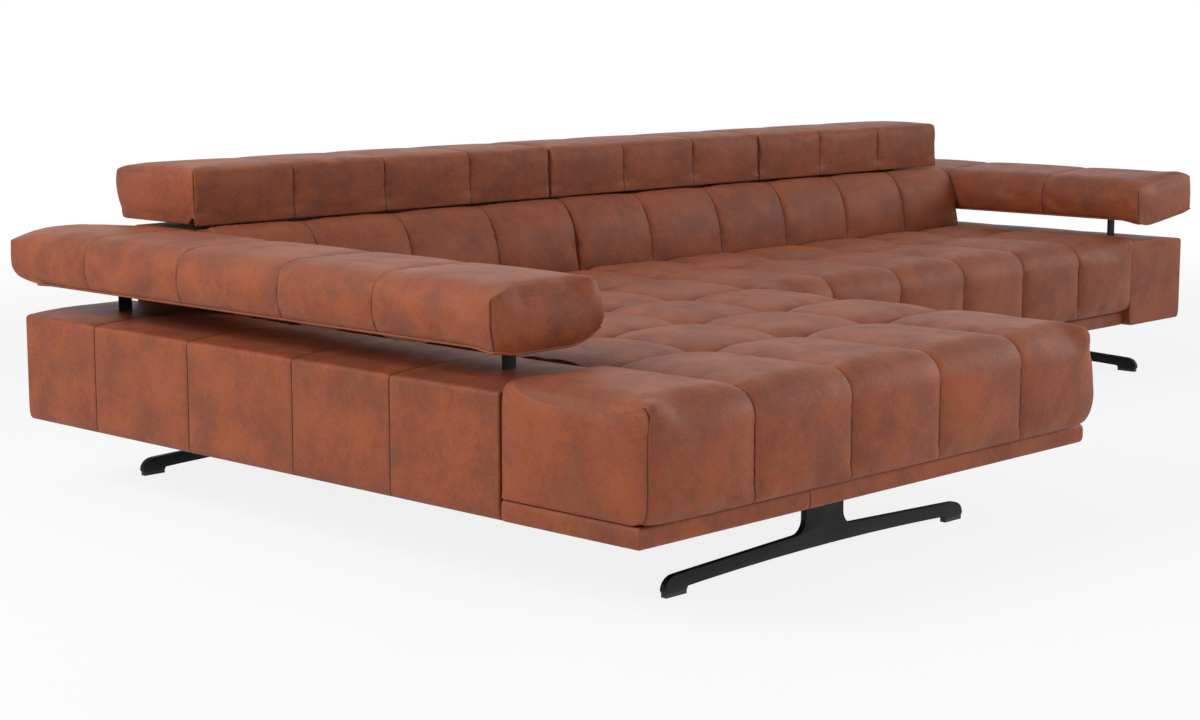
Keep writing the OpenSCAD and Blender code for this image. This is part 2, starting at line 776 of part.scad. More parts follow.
module hinge_arms(xs) {
    color(BLACK) for (x = xs) hinge_arm(x);
}

module left_headrest_cushion() headrest_cushion(left_head, x_seat, chaise_panels);
module left_headrest_board() headrest_board(left_head);
module left_hinge_arms() hinge_arms(left_hinges);
module left_hinge_brackets() hinge_brackets(left_hinges);

module middle_headrest_cushion() headrest_cushion(middle_head, x_split, head_panels);
module middle_headrest_board() headrest_board(middle_head);
module middle_hinge_arms() hinge_arms(middle_hinges);
module middle_hinge_brackets() hinge_brackets(middle_hinges);

module right_headrest_cushion() {
    headrest_cushion(right_head, x_split + head_panels * panel_w, main_panels - head_panels);
}
module right_headrest_board() headrest_board(right_head);
module right_hinge_arms() hinge_arms(right_hinges);
module right_hinge_brackets() hinge_brackets(right_hinges);

// Legs

// Right half of a leg's outline, as [distance from the middle, height], from its underside to its top
tip = leg_l / 2;
foot_in = tip - foot_l;
foot_r = 34;
fillet_x = stem_w / 2 + stem_fillet;
function bar_top(u) = leg_tip_h + (leg_mid_h - leg_tip_h) * (1 - u / tip);
function bar_under(u) = glide_h + 6 + (leg_arch - glide_h - 6) * (1 - pow(u / foot_in, 2));

function leg_half() =
    let (foot_z = glide_h + 6, rise = bar_top(tip - foot_r) - foot_z, top = bar_top(fillet_x) + stem_fillet)
    concat(
        [for (i = [1 : 7]) let (u = foot_in * i / 8) [u, bar_under(u)]],
        [[foot_in - 4, foot_z], [foot_in, glide_h], [tip - 4, glide_h]],
        [for (a = [0 : 18 : 90]) [tip - foot_r + foot_r * cos(a), foot_z + rise * sin(a)]],
        [for (a = [270 : -15 : 180]) [fillet_x + stem_fillet * cos(a), top + stem_fillet * sin(a)]],
        [[stem_w / 2, plate_z + 1]]);

module leg_outline() {
    half = leg_half();
    polygon(concat([[0, leg_arch]], half, [for (i = [len(half) - 1 : -1 : 0]) [-half[i][0], half[i][1]]]));
}

// Leg with its plate, along X, with its middle at p, turned about Z
plate_size = [170, 80];
module sled_leg(p, turn) {
    color(BLACK) translate([p[0], p[1], 0]) rotate([0, 0, turn]) {
        rotate([90, 0, 0]) translate([0, 0, -leg_t / 2]) linear_extrude(leg_t) leg_outline();
        difference() {
            translate([0, 0, plate_z]) linear_extrude(plate_t) square(plate_size, center = true);
            bolt_holes([0, 0], 0, [plate_z - 1, plate_z + plate_t + 1]);
        }
    }
}

// Pan-head bolts of the leg at p
module leg_bolts(p, turn) {
    color(BLACK) translate([p[0], p[1], 0]) rotate([0, 0, turn]) bolt_places() {
        translate([0, 0, plate_z - 3.5]) cylinder(h = 3.5, r = 7, $fn = 24);
        translate([0, 0, plate_z - 1]) cylinder(h = rail_z + 18 - plate_z, r = bolt_r, $fn = 24);
    }
}

// Glides under the two feet of the leg at p
module leg_glides(p, turn) {
    color(BLACK) translate([p[0], p[1], 0]) rotate([0, 0, turn])
        for (m = [0, 1]) mirror([m, 0, 0])
            translate([foot_in, -leg_t / 2, 0]) cube([foot_l - 4, leg_t, glide_h]);
}

module chaise_front_leg() sled_leg(front_leg_at, 0);
module chaise_rear_leg() sled_leg(rear_leg_at, 0);
module main_inner_leg() sled_leg(inner_leg_at, 90);
module main_end_leg() sled_leg(end_leg_at, 90);

module chaise_leg_bolts() {
    leg_bolts(front_leg_at, 0);
    leg_bolts(rear_leg_at, 0);
}

module main_leg_bolts() {
    leg_bolts(inner_leg_at, 90);
    leg_bolts(end_leg_at, 90);
}

module chaise_leg_glides() {
    leg_glides(front_leg_at, 0);
    leg_glides(rear_leg_at, 0);
}

module main_leg_glides() {
    leg_glides(inner_leg_at, 90);
    leg_glides(end_leg_at, 90);
}

// Plates that hold the two units together
hook_ys = [y_back - hook_rear, y_back - hook_rear - hook_step];

module hook_plate(x, y) {
    board(x, [y - hook_l / 2, y + hook_l / 2], [base_z + 4, seat_z - 6]);
}

module unit_hook_plates() {
    color(BLACK) for (y = hook_ys) hook_plate([chaise_x[1], x_split], y);
}

module unit_eye_plates() {
    color(BLACK) for (y = hook_ys) hook_plate([x_split, main_x[0]], y);
}

chaise_side_rails();
chaise_cross_rails();
chaise_front_plinth();
chaise_side_plinths();
chaise_under_cover();
chaise_webbing();
chaise_seat_cushion();
chaise_corner_cushion();
chaise_arm_base();
chaise_arm_rails();
chaise_arm_posts();
chaise_arm_cushion();
chaise_back_stiles();
chaise_back_top_rail();
chaise_back_shell();
chaise_back_cushion();
chaise_front_leg();
chaise_rear_leg();
chaise_leg_bolts();
chaise_leg_glides();
main_side_rails();
main_cross_rails();
main_leg_board();
main_front_plinth();
main_under_cover();
main_webbing();
main_seat_cushion();
main_arm_base();
main_arm_rails();
main_arm_posts();
main_arm_cushion();
main_back_stiles();
main_back_top_rail();
main_back_shell();
main_back_cushion();
main_inner_leg();
main_end_leg();
main_leg_bolts();
main_leg_glides();
unit_hook_plates();
unit_eye_plates();
left_headrest_cushion();
left_headrest_board();
left_hinge_arms();
left_hinge_brackets();
middle_headrest_cushion();
middle_headrest_board();
middle_hinge_arms();
middle_hinge_brackets();
right_headrest_cushion();
right_headrest_board();
right_hinge_arms();
right_hinge_brackets();
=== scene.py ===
# %% [markdown]
# # An L-shaped leather sofa
#
# The sofa has a chaise on the left, a two-seat unit on the right, two pillow arms that float on flat
# posts, three folding headrests and flat cast legs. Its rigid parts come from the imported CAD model, which
# is the fixed frame. The soft parts are sewn here, panel by panel, and then stuffed with air pressure.
#
# Everything is in metres, with the floor at z = 0, +X along the back and -Y to the front.

# %% Load the frame
import json
import math

import bmesh
import bpy
import numpy as np
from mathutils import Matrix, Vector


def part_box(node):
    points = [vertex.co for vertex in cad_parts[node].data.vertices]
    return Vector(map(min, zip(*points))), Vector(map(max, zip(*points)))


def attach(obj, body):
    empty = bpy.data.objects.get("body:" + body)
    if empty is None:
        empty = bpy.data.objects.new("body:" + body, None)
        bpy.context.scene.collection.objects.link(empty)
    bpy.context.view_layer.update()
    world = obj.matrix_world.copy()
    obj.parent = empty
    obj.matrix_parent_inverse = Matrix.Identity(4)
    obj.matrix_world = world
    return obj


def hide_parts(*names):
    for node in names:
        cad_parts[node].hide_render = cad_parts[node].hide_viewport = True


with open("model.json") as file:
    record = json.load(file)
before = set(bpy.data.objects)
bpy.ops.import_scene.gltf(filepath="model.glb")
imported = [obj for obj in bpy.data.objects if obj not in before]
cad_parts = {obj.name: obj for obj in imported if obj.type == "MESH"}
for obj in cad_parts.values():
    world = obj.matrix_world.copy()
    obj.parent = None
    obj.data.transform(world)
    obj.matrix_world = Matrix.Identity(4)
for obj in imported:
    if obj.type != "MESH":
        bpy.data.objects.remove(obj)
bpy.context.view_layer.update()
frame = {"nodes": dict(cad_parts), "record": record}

# %% [markdown]
# ## The panel grid
#
# A pattern cutter plans such a sofa on one grid: every sewn panel is 290 mm wide. The corners of the CAD
# nodes give the places of the grid, so that each cushion lands on its own solid.


# %% Places of the grid
def corners(node):
    """Lowest and highest corner of a CAD node as two arrays."""
    lo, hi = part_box(node)
    return np.array(lo), np.array(hi)


# Width of a panel, depth of the front row with its roll, and height of the seats' crowns
PANEL, FRONT_ROW, CREST = 0.290, 0.395, 0.432
# Seams of the plinth bands: x of the one in front, and how far behind the corner the one at the side is
BAND_SEAM, BAND_SIDE_SEAM = -1.258, 0.97
# A distance at which no seam is felt any more
FAR = 9.0
base_lo, base_hi = corners("chaise_arm_base")
X_SEAT = base_hi[0]
X_SPLIT = X_SEAT + 4 * PANEL
X_ARM = X_SPLIT + 6 * PANEL
Z_SEAT = corners("chaise_seat_cushion")[0][2]
chaise_seams = [X_SEAT + k * PANEL for k in range(4)]
main_seams = [X_SPLIT + k * PANEL for k in range(1, 6)]
print(f"grid: seat from {X_SEAT:.3f}, units meet at {X_SPLIT:.3f}, far arm from {X_ARM:.3f}")

# %% [markdown]
# ## Sewing a cushion
#
# A cushion could be sculpted, or cut from a subdivided cube. Here each one is a lattice instead: a closed
# section with four sides is swept along the panels, and both ends are filled with a grid of their own.
# That keeps rows of vertices exactly on the seams, where the leather is pulled in, with closer rows
# beside them for a crisp crease.


# %% Lines of vertices along a panel
# Distances from a seam to the rows of vertices beside it
SEAM = (0, 0.0015, 0.0042, 0.0100, 0.0220)


def rounding(r):
    """Steps that follow a quarter round of radius r."""
    return tuple(r * (1 - math.cos(math.radians(a))) for a in (0, 22, 42, 60, 76, 90))


def steps(a, b, from_a, from_b, most=0.026):
    """Positions from a to b: given steps beside both ends, and even ones between."""
    left = [a + d for d in from_a]
    right = [b - d for d in reversed(from_b)]
    n = max(1, round((right[0] - left[-1]) / most))
    return [*left, *np.linspace(left[-1], right[0], n + 1)[1:-1], *right]


def lines(lo, hi, seams, r_lo, r_hi, most=0.026):
    """Positions from lo to hi with close ones at each seam and in the rounding of both ends."""
    knots = [lo, *[s for s in seams if lo + 0.03 < s < hi - 0.03], hi]
    out = []
    for k, (a, b) in enumerate(zip(knots, knots[1:])):
        first = SEAM if k else rounding(r_lo)
        last = rounding(r_hi) if b == hi else SEAM
        out += steps(a, b, first, last, most)[:-1]
    return np.array([*out, hi])


def away(values, marks):
    """Distance from each value to the nearest mark."""
    if not len(marks):
        return np.full(len(values), FAR)
    return np.abs(np.asarray(values)[:, None] - np.asarray(marks)[None]).min(axis=1)


def fade(values, lo, hi):
    """0 below lo, 1 above hi, smooth between."""
    t = np.clip((values - lo) / (hi - lo), 0, 1)
    return t * t * (3 - 2 * t)


print("one seat panel has", len(steps(0, PANEL, SEAM, SEAM)) - 1, "strips")


# %% Sections with four sides
def arc(p, q, rp, rq, a0, a1, n):
    """n + 1 points of an elliptic arc about (p, q), from angle a0 to a1 in degrees."""
    a = np.radians(np.linspace(a0, a1, n + 1))
    return np.stack([p + rp * np.cos(a), q + rq * np.sin(a)], 1)


def distances(points):
    """How far along a line each of its points lies."""
    return np.concatenate([[0], np.cumsum(np.linalg.norm(np.diff(points, axis=0), axis=1))])


def sample(points, at):
    """Points at given distances along a line of points."""
    points = np.array(points, float)
    run = distances(points)
    return np.stack([np.interp(at, run, points[:, 0]), np.interp(at, run, points[:, 1])], 1)


def resample(points, n):
    """n + 1 points at even distances along a line of points."""
    return sample(points, np.linspace(0, distances(np.array(points, float))[-1], n + 1))


def inward(path):
    """Unit vectors that point into a closed path of points."""
    t = np.roll(path, -1, axis=0) - np.roll(path, 1, axis=0)
    t /= np.maximum(np.linalg.norm(t, axis=1, keepdims=True), 1e-9)
    n = np.stack([-t[:, 1], t[:, 0]], 1)
    turn = np.roll(path, -1, axis=0)
    area = (path[:, 0] * turn[:, 1] - path[:, 1] * turn[:, 0]).sum()
    return n if area > 0 else -n


def fill_end(bottom, front, top, rear):
    """Points of the grid that spans the four sides of a section, as a Coons patch."""
    low, high, left, right = bottom, top[::-1], rear[::-1], front
    u = np.linspace(0, 1, len(low))[:, None, None]
    v = np.linspace(0, 1, len(left))[None, :, None]
    flat = (1 - u) * (1 - v) * low[0] + u * (1 - v) * low[-1] + (1 - u) * v * high[0] + u * v * high[-1]
    return (1 - v) * low[:, None] + v * high[:, None] + (1 - u) * left[None] + u * right[None] - flat


print("section tools ready")


# %% Small tools for meshes
def show(name, data):
    """A new object in the scene."""
    made = bpy.data.objects.new(name, data)
    bpy.context.scene.collection.objects.link(made)
    return made


def rework(mesh, change):
    """Opens a mesh, changes it and closes it."""
    made = bmesh.new()
    made.from_mesh(mesh)
    change(made)
    made.to_mesh(mesh)
    made.free()


def note(mesh, label, domain, values):
    """Stores one number for each vertex or face, which the leather finish reads."""
    attribute = mesh.attributes.get(label) or mesh.attributes.new(label, "FLOAT", domain)
    attribute.data.foreach_set("value", np.asarray(values, np.float32))


def face_outwards(made):
    if made.calc_volume(signed=True) < 0:
        bmesh.ops.reverse_faces(made, faces=made.faces)


def tie(piece, nodes, body="root"):
    """Hides the CAD nodes that a piece replaces, and hangs the piece on the body that carries it."""
    if nodes:
        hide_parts(*nodes)
    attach(piece, body)
    print(f"{piece.name}: {len(piece.data.polygons)} faces")


print("mesh tools ready")


# %% Sew a lattice into a closed skin
class Sewn:
    """A sewn form: its mesh object, and where its rows of vertices are."""

    def __init__(self, name, sides, s, along, ends, bulge, draw, marks):
        bottom, front, top, rear = sides
        self.nu, self.nv = len(bottom) - 1, len(front) - 1
        self.path = np.concatenate([bottom[:-1], front[:-1], top[:-1], rear[:-1]])
        self.s = np.asarray(s)
        self.n, self.m = len(self.path), len(self.s)
        pull = draw(self.s, self.path)
        for d, r in ((self.s - self.s[0], ends[0]), (self.s[-1] - self.s, ends[1])):
            r = np.maximum(r(self.path), 1e-5)
            t = np.clip(1 - d[:, None] / r[None], 0, 1)
            pull = pull + r[None] * (1 - np.sqrt(1 - t**2))
        ring = self.path[None] + inward(self.path)[None] * pull[..., None]
        points = [(x, *p) for x, row in zip(self.s, ring) for p in row]
        self.caps = [self._cap(points, ring[-end], end, bulge[end]) for end in (0, 1)]
        points = np.array(points)
        if along == "y":
            points = points[:, [1, 0, 2]]
        faces = self._faces()
        self.mesh = bpy.data.meshes.new(name)
        self.mesh.from_pydata(points.tolist(), [], faces)
        self.object = show(name, self.mesh)
        rework(self.mesh, face_outwards)
        self.mark(marks)

    def _cap(self, points, row, end, bulge):
        """Adds the inner points of one end, and returns the vertex numbers of its whole grid."""
        n, nu, nv = self.n, self.nu, self.nv
        start, s, way = ((0, self.s[0], -1), ((self.m - 1) * n, self.s[-1], 1))[end]
        closed = np.concatenate([row, row[:1]])
        cuts = [0, nu, nu + nv, 2 * nu + nv, n]
        grid = fill_end(*[closed[a : b + 1] for a, b in zip(cuts, cuts[1:])])
        where = np.zeros((nu + 1, nv + 1), int)
        where[:, 0] = start + np.arange(nu + 1)
        where[nu, :] = start + nu + np.arange(nv + 1)
        where[:, nv] = start + nu + nv + (nu - np.arange(nu + 1))
        where[0, 1:] = start + n - np.arange(1, nv + 1)
        # The first ring of the grid lies close to the edge, which keeps the edge crisp
        iu, iv = (np.array([0, 0.15, *range(2, k - 1), k - 0.15, k]) for k in (nu, nv))
        for k in range(nv + 1):
            grid[:, k] = np.stack([np.interp(iu, np.arange(nu + 1), grid[:, k, c]) for c in (0, 1)], 1)
        for i in range(nu + 1):
            grid[i] = np.stack([np.interp(iv, np.arange(nv + 1), grid[i, :, c]) for c in (0, 1)], 1)
        for i in range(1, nu):
            for k in range(1, nv):
                u, v = iu[i] / nu, iv[k] / nv
                out = bulge * ((1 - (2 * u - 1) ** 4) * (1 - (2 * v - 1) ** 4)) ** 1.4
                where[i, k] = len(points)
                points.append((s + way * out, *grid[i, k]))
        return where

    def _faces(self):
        n, m = self.n, self.m
        i, j = np.meshgrid(np.arange(m - 1), np.arange(n), indexing="ij")
        a, b = i * n + j, i * n + (j + 1) % n
        around = np.stack([a, b, b + n, a + n], -1).reshape(-1, 4).tolist()
        lo, hi = self.caps
        first = np.stack([lo[:-1, :-1], lo[:-1, 1:], lo[1:, 1:], lo[1:, :-1]], -1).reshape(-1, 4).tolist()
        last = np.stack([hi[:-1, :-1], hi[1:, :-1], hi[1:, 1:], hi[:-1, 1:]], -1).reshape(-1, 4).tolist()
        self.around = len(around)
        return around + first + last

    def mark(self, marks):
        """Stores how near each vertex is to a seam, and which cut of leather each face belongs to."""
        near, cut = marks(self.s, self.path)
        self.seam = np.full(len(self.mesh.vertices), 1.0, np.float32)
        self.seam[: self.n * self.m] = near.ravel()
        for cap in self.caps:
            self.seam[cap[1:-1, 1:-1]] = 0.05
        cuts = np.full(len(self.mesh.polygons), 0.37, np.float32)
        cuts[: self.around] = cut[:-1].ravel()
        note(self.mesh, "seam_near", "POINT", self.seam)
        note(self.mesh, "cut", "FACE", cuts)

    def corner_seam(self, end, row, z_lo, z_hi, depth=0.0016):
        """Marks a seam up one vertical edge of an end, pulls it in a little and returns its vertices."""
        co = self.places()
        line = self.caps[end][row, :]
        line = line[(co[line, 2] > z_lo) & (co[line, 2] < z_hi)]
        middle = (co.min(axis=0) + co.max(axis=0)) / 2
        co[line, :2] += np.sign(middle - co[line])[:, :2] * depth
        self.mesh.vertices.foreach_set("co", co.astype(np.float32).ravel())
        beside = self.caps[end][row + 1 if row == 0 else row - 1, :]
        self.seam[beside[(co[beside, 2] > z_lo) & (co[beside, 2] < z_hi)]] = 0.85
        self.seam[line] = 1.0
        note(self.mesh, "seam_near", "POINT", self.seam)
        return line

    def places(self):
        co = np.zeros(len(self.mesh.vertices) * 3)
        self.mesh.vertices.foreach_get("co", co)
        return co.reshape(-1, 3)

    def shift(self, move):
        """Moves the vertices by a function that turns an array of places into another one."""
        self.mesh.vertices.foreach_set("co", move(self.places()).astype(np.float32).ravel())
        self.mesh.update()

    def row(self, j):
        """Places of the vertices of one row of the section, from end to end."""
        return self.places()[: self.n * self.m].reshape(self.m, self.n, 3)[:, j]

    def pins(self):
        """1 for each vertex on a seam and 0 for the others."""
        return np.where(self.seam > 0.9, 1.0, 0.0)


def constant(r):
    """The same rounding for every point of a section."""
    return lambda path: np.full(len(path), r)


print("sewing ready")

# %% [markdown]
# ## Stuffing
#
# The real cushions are foam and fibre in a tight leather cover. Once a cover is sewn, its seams hold while
# the panels between them bulge. Blender's Cloth does the same: the vertices on the seams and on the
# resting face are pinned, gravity is off, and air pressure pushes the rest outwards for twenty frames.
# How far a point may move is capped, so that a cushion stays in the space of its CAD solid.


# %% Stuff a sewn cover
def stuff(sewn, held, cap):
    """Blows up the free vertices of a sewn form by cloth simulation, by no more than the cap of each."""
    piece = sewn.object
    piece.vertex_groups.new(name="held").add(np.nonzero(held)[0].tolist(), 1.0, "REPLACE")
    before = sewn.places()
    cloth = piece.modifiers.new("stuffing", "CLOTH")
    cloth.settings.quality = 4
    cloth.settings.mass = 0.3
    cloth.settings.tension_stiffness = 15
    cloth.settings.compression_stiffness = 15
    cloth.settings.bending_stiffness = 1.0
    cloth.settings.use_pressure = True
    cloth.settings.uniform_pressure_force = 4.0
    cloth.settings.shrink_min = -0.015
    cloth.settings.vertex_group_mass = "held"
    cloth.settings.pin_stiffness = 1.0
    cloth.settings.effector_weights.gravity = 0
    cloth.point_cache.frame_start, cloth.point_cache.frame_end = 1, 20
    cloth.collision_settings.use_collision = False
    for number in range(1, 21):
        bpy.context.scene.frame_set(number)
        graph = bpy.context.evaluated_depsgraph_get()
        shape = piece.evaluated_get(graph).data
    after = np.zeros(len(before) * 3)
    shape.vertices.foreach_get("co", after)
    move = after.reshape(-1, 3) - before
    size = np.linalg.norm(move, axis=1, keepdims=True)
    cap = np.broadcast_to(np.maximum(cap, 1e-5), len(before))[:, None]
    move *= np.tanh(size / cap) * cap / np.maximum(size, 1e-9)
    piece.modifiers.remove(cloth)
    piece.vertex_groups.clear()
    bpy.context.scene.frame_set(1)
    sewn.shift(lambda co: before + move)
    kept = np.linalg.norm(move, axis=1).max()
    print(f"  {piece.name}: moved up to {size.max() * 1000:.1f} mm, kept {kept * 1000:.1f}")


def smooth(piece):
    """Shades a piece smoothly and subdivides it once."""
    piece.data.shade_smooth()
    finer = piece.modifiers.new("finer", "SUBSURF")
    finer.levels = finer.render_levels = 1


print("stuffing is", "on")

# %% [markdown]
# ## Mixing finishes with a little shader arithmetic
#
# A material is a sheet of nodes. Written out node by node it is hard to read, so a small class wraps a
# socket: sums and products of two wires add the Math nodes by themselves.


# %% Wires and finishes
class Wire:
    """One output of a shader node, with the signs of ordinary sums."""

    def __init__(self, finish, socket):
        self.finish, self.socket = finish, socket

    def _sum(self, operation, a, b):
        return self.finish.node("ShaderNodeMath", {"operation": operation}, {0: a, 1: b})

    def __add__(self, other):
        return self._sum("ADD", self, other)

    def __radd__(self, other):
        return self._sum("ADD", other, self)

    def __sub__(self, other):
        return self._sum("SUBTRACT", self, other)

    def __mul__(self, other):
        return self._sum("MULTIPLY", self, other)

    def or_more(self, other):
        """The larger one of two wires."""
        return self._sum("MAXIMUM", self, other)


class Finish:
    """A material or a world under construction."""

    def __init__(self, name, shelf=bpy.data.materials):
        self.made = shelf.new(name)
        self.made.use_nodes = True
        self.tree = self.made.node_tree
        self.tree.nodes.clear()

    def node(self, kind, settings=None, inputs=None, out=0):
        """Adds a node: first its settings, then the values or wires of its sockets."""
        made = self.tree.nodes.new(kind)
        for key, value in (settings or {}).items():
            setattr(made, key, value)
        for key, value in (inputs or {}).items():
            socket = self._socket(made.inputs, key)
            if isinstance(value, Wire):
                self.tree.links.new(value.socket, socket)
            else:
                socket.default_value = value
        return Wire(self, self._socket(made.outputs, out))

    @staticmethod
    def _socket(sockets, key):
        """A socket by its number, its identifier or its name."""
        named = [s for s in sockets if s.identifier == key]
        return named[0] if named else sockets[key]

    def place(self):
        """Object coordinates, in metres."""
        return self.node("ShaderNodeTexCoord", out="Object")

    def noise(self, scale, detail, rough, vector=None, distortion=0.0):
        inputs = {"Vector": vector or self.place(), "Scale": scale, "Detail": detail, "Roughness": rough}
        return self.node("ShaderNodeTexNoise", None, {**inputs, "Distortion": distortion})

    def attribute(self, name):
        return self.node("ShaderNodeAttribute", {"attribute_name": name}, out="Fac")

    def mix(self, share, a, b, blend="MIX"):
        """Mixes two colours by a share."""
        settings = {"data_type": "RGBA", "blend_type": blend, "clamp_factor": True}
        inputs = {"Factor_Float": share, "A_Color": a, "B_Color": b}
        return self.node("ShaderNodeMix", settings, inputs, "Result_Color")

    def spread(self, wire, lo, hi, to_lo=0.0, to_hi=1.0):
        """Maps a range of values onto another one, smoothly and clamped."""
        settings = {"interpolation_type": "SMOOTHSTEP"}
        inputs = {"Value": wire, "From Min": lo, "From Max": hi, "To Min": to_lo, "To Max": to_hi}
        return self.node("ShaderNodeMapRange", settings, inputs)

    def bump(self, strength, distance, height):
        """Relief that is too fine for the mesh."""
        inputs = {"Strength": strength, "Distance": distance, "Height": height}
        return self.node("ShaderNodeBump", None, inputs)

    def background(self):
        """1 for a ray from the camera, or one that is mirrored or let through, and 0 for the others."""
        rays = ("Is Camera Ray", "Is Glossy Ray", "Is Transmission Ray")
        camera, glossy, through = (self.node("ShaderNodeLightPath", out=ray) for ray in rays)
        return camera.or_more(glossy).or_more(through)

    def end(self, surface, kind="ShaderNodeOutputMaterial"):
        """Ends in an output node, and gives the finished material or world."""
        self.tree.links.new(surface.socket, self.tree.nodes.new(kind).inputs["Surface"])
        return self.made

    def close(self, **sockets):
        """Ends in a Principled surface."""
        inputs = {key.replace("_", " ").title().replace("Ior", "IOR"): v for key, v in sockets.items()}
        return self.end(self.node("ShaderNodeBsdfPrincipled", None, inputs))


def tone(r, g, b):
    """A colour from its 0 to 255 screen values, as the linear colour that shaders use."""
    screen = np.array([r, g, b]) / 255
    linear = np.where(screen <= 0.04045, screen / 12.92, ((screen + 0.055) / 1.055) ** 2.4)
    return (*linear.tolist(), 1.0)


print("finishes ready")

# %% [markdown]
# ## The leather
#
# The hide is a pulled-up brown: warm where it is stretched, darker and greyer in soft clouds, with a fine
# pebble grain and a satin face. Large noise makes the clouds, and each cut panel starts at its own place in
# the noise so that neighbours never match. Beside the seams the colour is darkened towards the dark tone,
# which is painted shade in the creases, and the seam line itself is dark. Grain, pores and soft wrinkles go
# into the bump, and the polish varies with the clouds.


# %% Leather finish
def leather(name, warm, dark, pale, seam_tone):
    f = Finish(name)
    cut = f.attribute("cut")
    near = f.attribute("seam_near")
    shift = f.node("ShaderNodeCombineXYZ", None, {0: cut * 7.3, 1: cut * 3.1, 2: cut * 5.7})
    spot = f.node("ShaderNodeVectorMath", {"operation": "ADD"}, {0: f.place(), 1: shift})
    clouds = f.noise(9.0, 5.0, 0.66, spot, 0.15)
    flecks = f.noise(70.0, 4.0, 0.7, spot, 0.2)
    base = f.mix(f.spread(clouds * 0.68 + flecks * 0.32, 0.375, 0.625), dark, warm)
    pulled = f.spread(f.noise(5.0, 3.0, 0.55, spot, 0.2), 0.5, 0.75, 0.0, 0.5)
    base = f.mix(pulled, base, pale)
    # Painted shade: within about a centimetre of a seam the leather is darkened, as if the crease lay in
    # shade
    base = f.mix(f.spread(near, 0.15, 0.7, 0.0, 0.25), base, dark)
    base = f.mix(f.spread(near, 0.66, 0.92), base, seam_tone)
    grain = f.noise(300.0, 3.0, 0.65)
    base = f.mix(f.spread(grain, 0.35, 0.65, 0.30, 0.0), base, f.mix(0.5, base, dark, "MULTIPLY"))
    pebble = f.node("ShaderNodeTexVoronoi", None, {"Vector": f.place(), "Scale": 240.0})
    wrinkle = f.noise(46.0, 4.0, 0.55, f.place(), 1.0)
    bump = f.bump(0.6, 0.0011, pebble * 0.8 + grain * 0.5 + wrinkle * 0.8)
    rough = f.spread(clouds, 0.3, 0.7, 0.54, 0.46) + (flecks - 0.5) * 0.10
    return f.close(base_color=base, roughness=rough, normal=bump, specular_ior_level=0.2)


LEATHER = leather("brown_leather", tone(158, 84, 51), tone(129, 71, 51), tone(145, 81, 57), tone(58, 25, 15))
print("leather has", len(LEATHER.node_tree.nodes), "nodes")


# %% Metal, cloth, wood and plastic
def black_metal():
    f = Finish("black_powder_coat")
    peel = f.noise(700.0, 2.0, 0.5)
    worn = f.noise(18.0, 4.0, 0.6)
    colour = f.mix(f.spread(worn, 0.35, 0.75), tone(12, 12, 16), tone(20, 20, 25))
    rough = f.spread(worn, 0.3, 0.7, 0.5, 0.62)
    bump = f.bump(0.25, 0.0002, peel)
    return f.close(base_color=colour, roughness=rough, normal=bump, specular_ior_level=0.2)


def zinc():
    f = Finish("zinc_plate")
    haze = f.noise(60.0, 4.0, 0.6)
    colour = f.mix(f.spread(haze, 0.3, 0.7), tone(150, 150, 152), tone(190, 190, 186))
    return f.close(base_color=colour, metallic=1.0, roughness=f.spread(haze, 0.3, 0.7, 0.28, 0.42))


def woven_cloth():
    f = Finish("black_under_cloth")
    inputs = {"Vector": f.place(), "Scale": 260.0}
    warp, weft = (f.node("ShaderNodeTexWave", {"bands_direction": way}, inputs) for way in "XY")
    thread = warp * 0.5 + weft * 0.5
    colour = f.mix(thread, tone(18, 18, 19), tone(44, 44, 46))
    rough = f.spread(thread, 0.0, 1.0, 0.95, 0.8)
    return f.close(base_color=colour, roughness=rough, normal=f.bump(0.5, 0.0006, thread))


def softwood():
    f = Finish("frame_softwood")
    stretched = f.node("ShaderNodeMapping", None, {"Vector": f.place(), "Scale": (1, 14, 14)})
    grain = f.noise(6.0, 5.0, 0.6, stretched, 0.8)
    colour = f.mix(f.spread(grain, 0.35, 0.65), tone(176, 138, 92), tone(205, 172, 122))
    rough = f.spread(grain, 0.3, 0.7, 0.75, 0.6)
    return f.close(base_color=colour, roughness=rough, normal=f.bump(0.3, 0.0006, grain))


def moulded_plastic():
    f = Finish("glide_plastic")
    skin = f.noise(1200.0, 2.0, 0.5)
    colour = f.mix(skin, tone(20, 20, 21), tone(32, 32, 33))
    rough = f.spread(skin, 0.3, 0.7, 0.55, 0.7)
    return f.close(base_color=colour, roughness=rough, normal=f.bump(0.3, 0.0002, skin))


METAL, ZINC, CLOTH, WOOD, PLASTIC = black_metal(), zinc(), woven_cloth(), softwood(), moulded_plastic()
print("finishes:", ", ".join(m.name for m in (LEATHER, METAL, ZINC, CLOTH, WOOD, PLASTIC)))

# %% [markdown]
# ## Seat cushions
#
# The seats are long leather covers over foam. Seams run from front to back at every panel and across at
# every row, and where two of them cross a tuft pulls the leather down. The front row is deeper, because
# it rolls over the front edge and runs down to the plinth. The crossing seams are shallow halfway between
# two tufts and deep beside them, which is what draws the arcs that one sees from a low eye.


# %% How the seams pull
# How much deeper a seam lies where another one crosses it
TUFT = 0.0105


def pull_of(near_s, near_row, give, tuft, line=0.0034, valley=0.0030, crown=0.0050):
    """Depth to which leather is drawn in: near_s and near_row are the distances to the seams."""
    a, b = near_s[:, None], near_row[None]
    deep_s = valley + tuft * np.exp(-((b / 0.060) ** 2))
    deep_row = valley + tuft * np.exp(-((a / 0.060) ** 2))
    seam_s = line * np.exp(-a / 0.0040) + deep_s * np.exp(-a / 0.030)
    seam_row = line * np.exp(-b / 0.0040) + deep_row * np.exp(-b / 0.030)
    both = np.minimum(seam_s, seam_row)
    body = crown * (np.clip(1 - a / (PANEL / 2), 0, 1) ** 2 + np.clip(1 - b / (PANEL / 2), 0, 1) ** 2)
    return give[None] * (seam_s + seam_row - 0.8 * both + body)


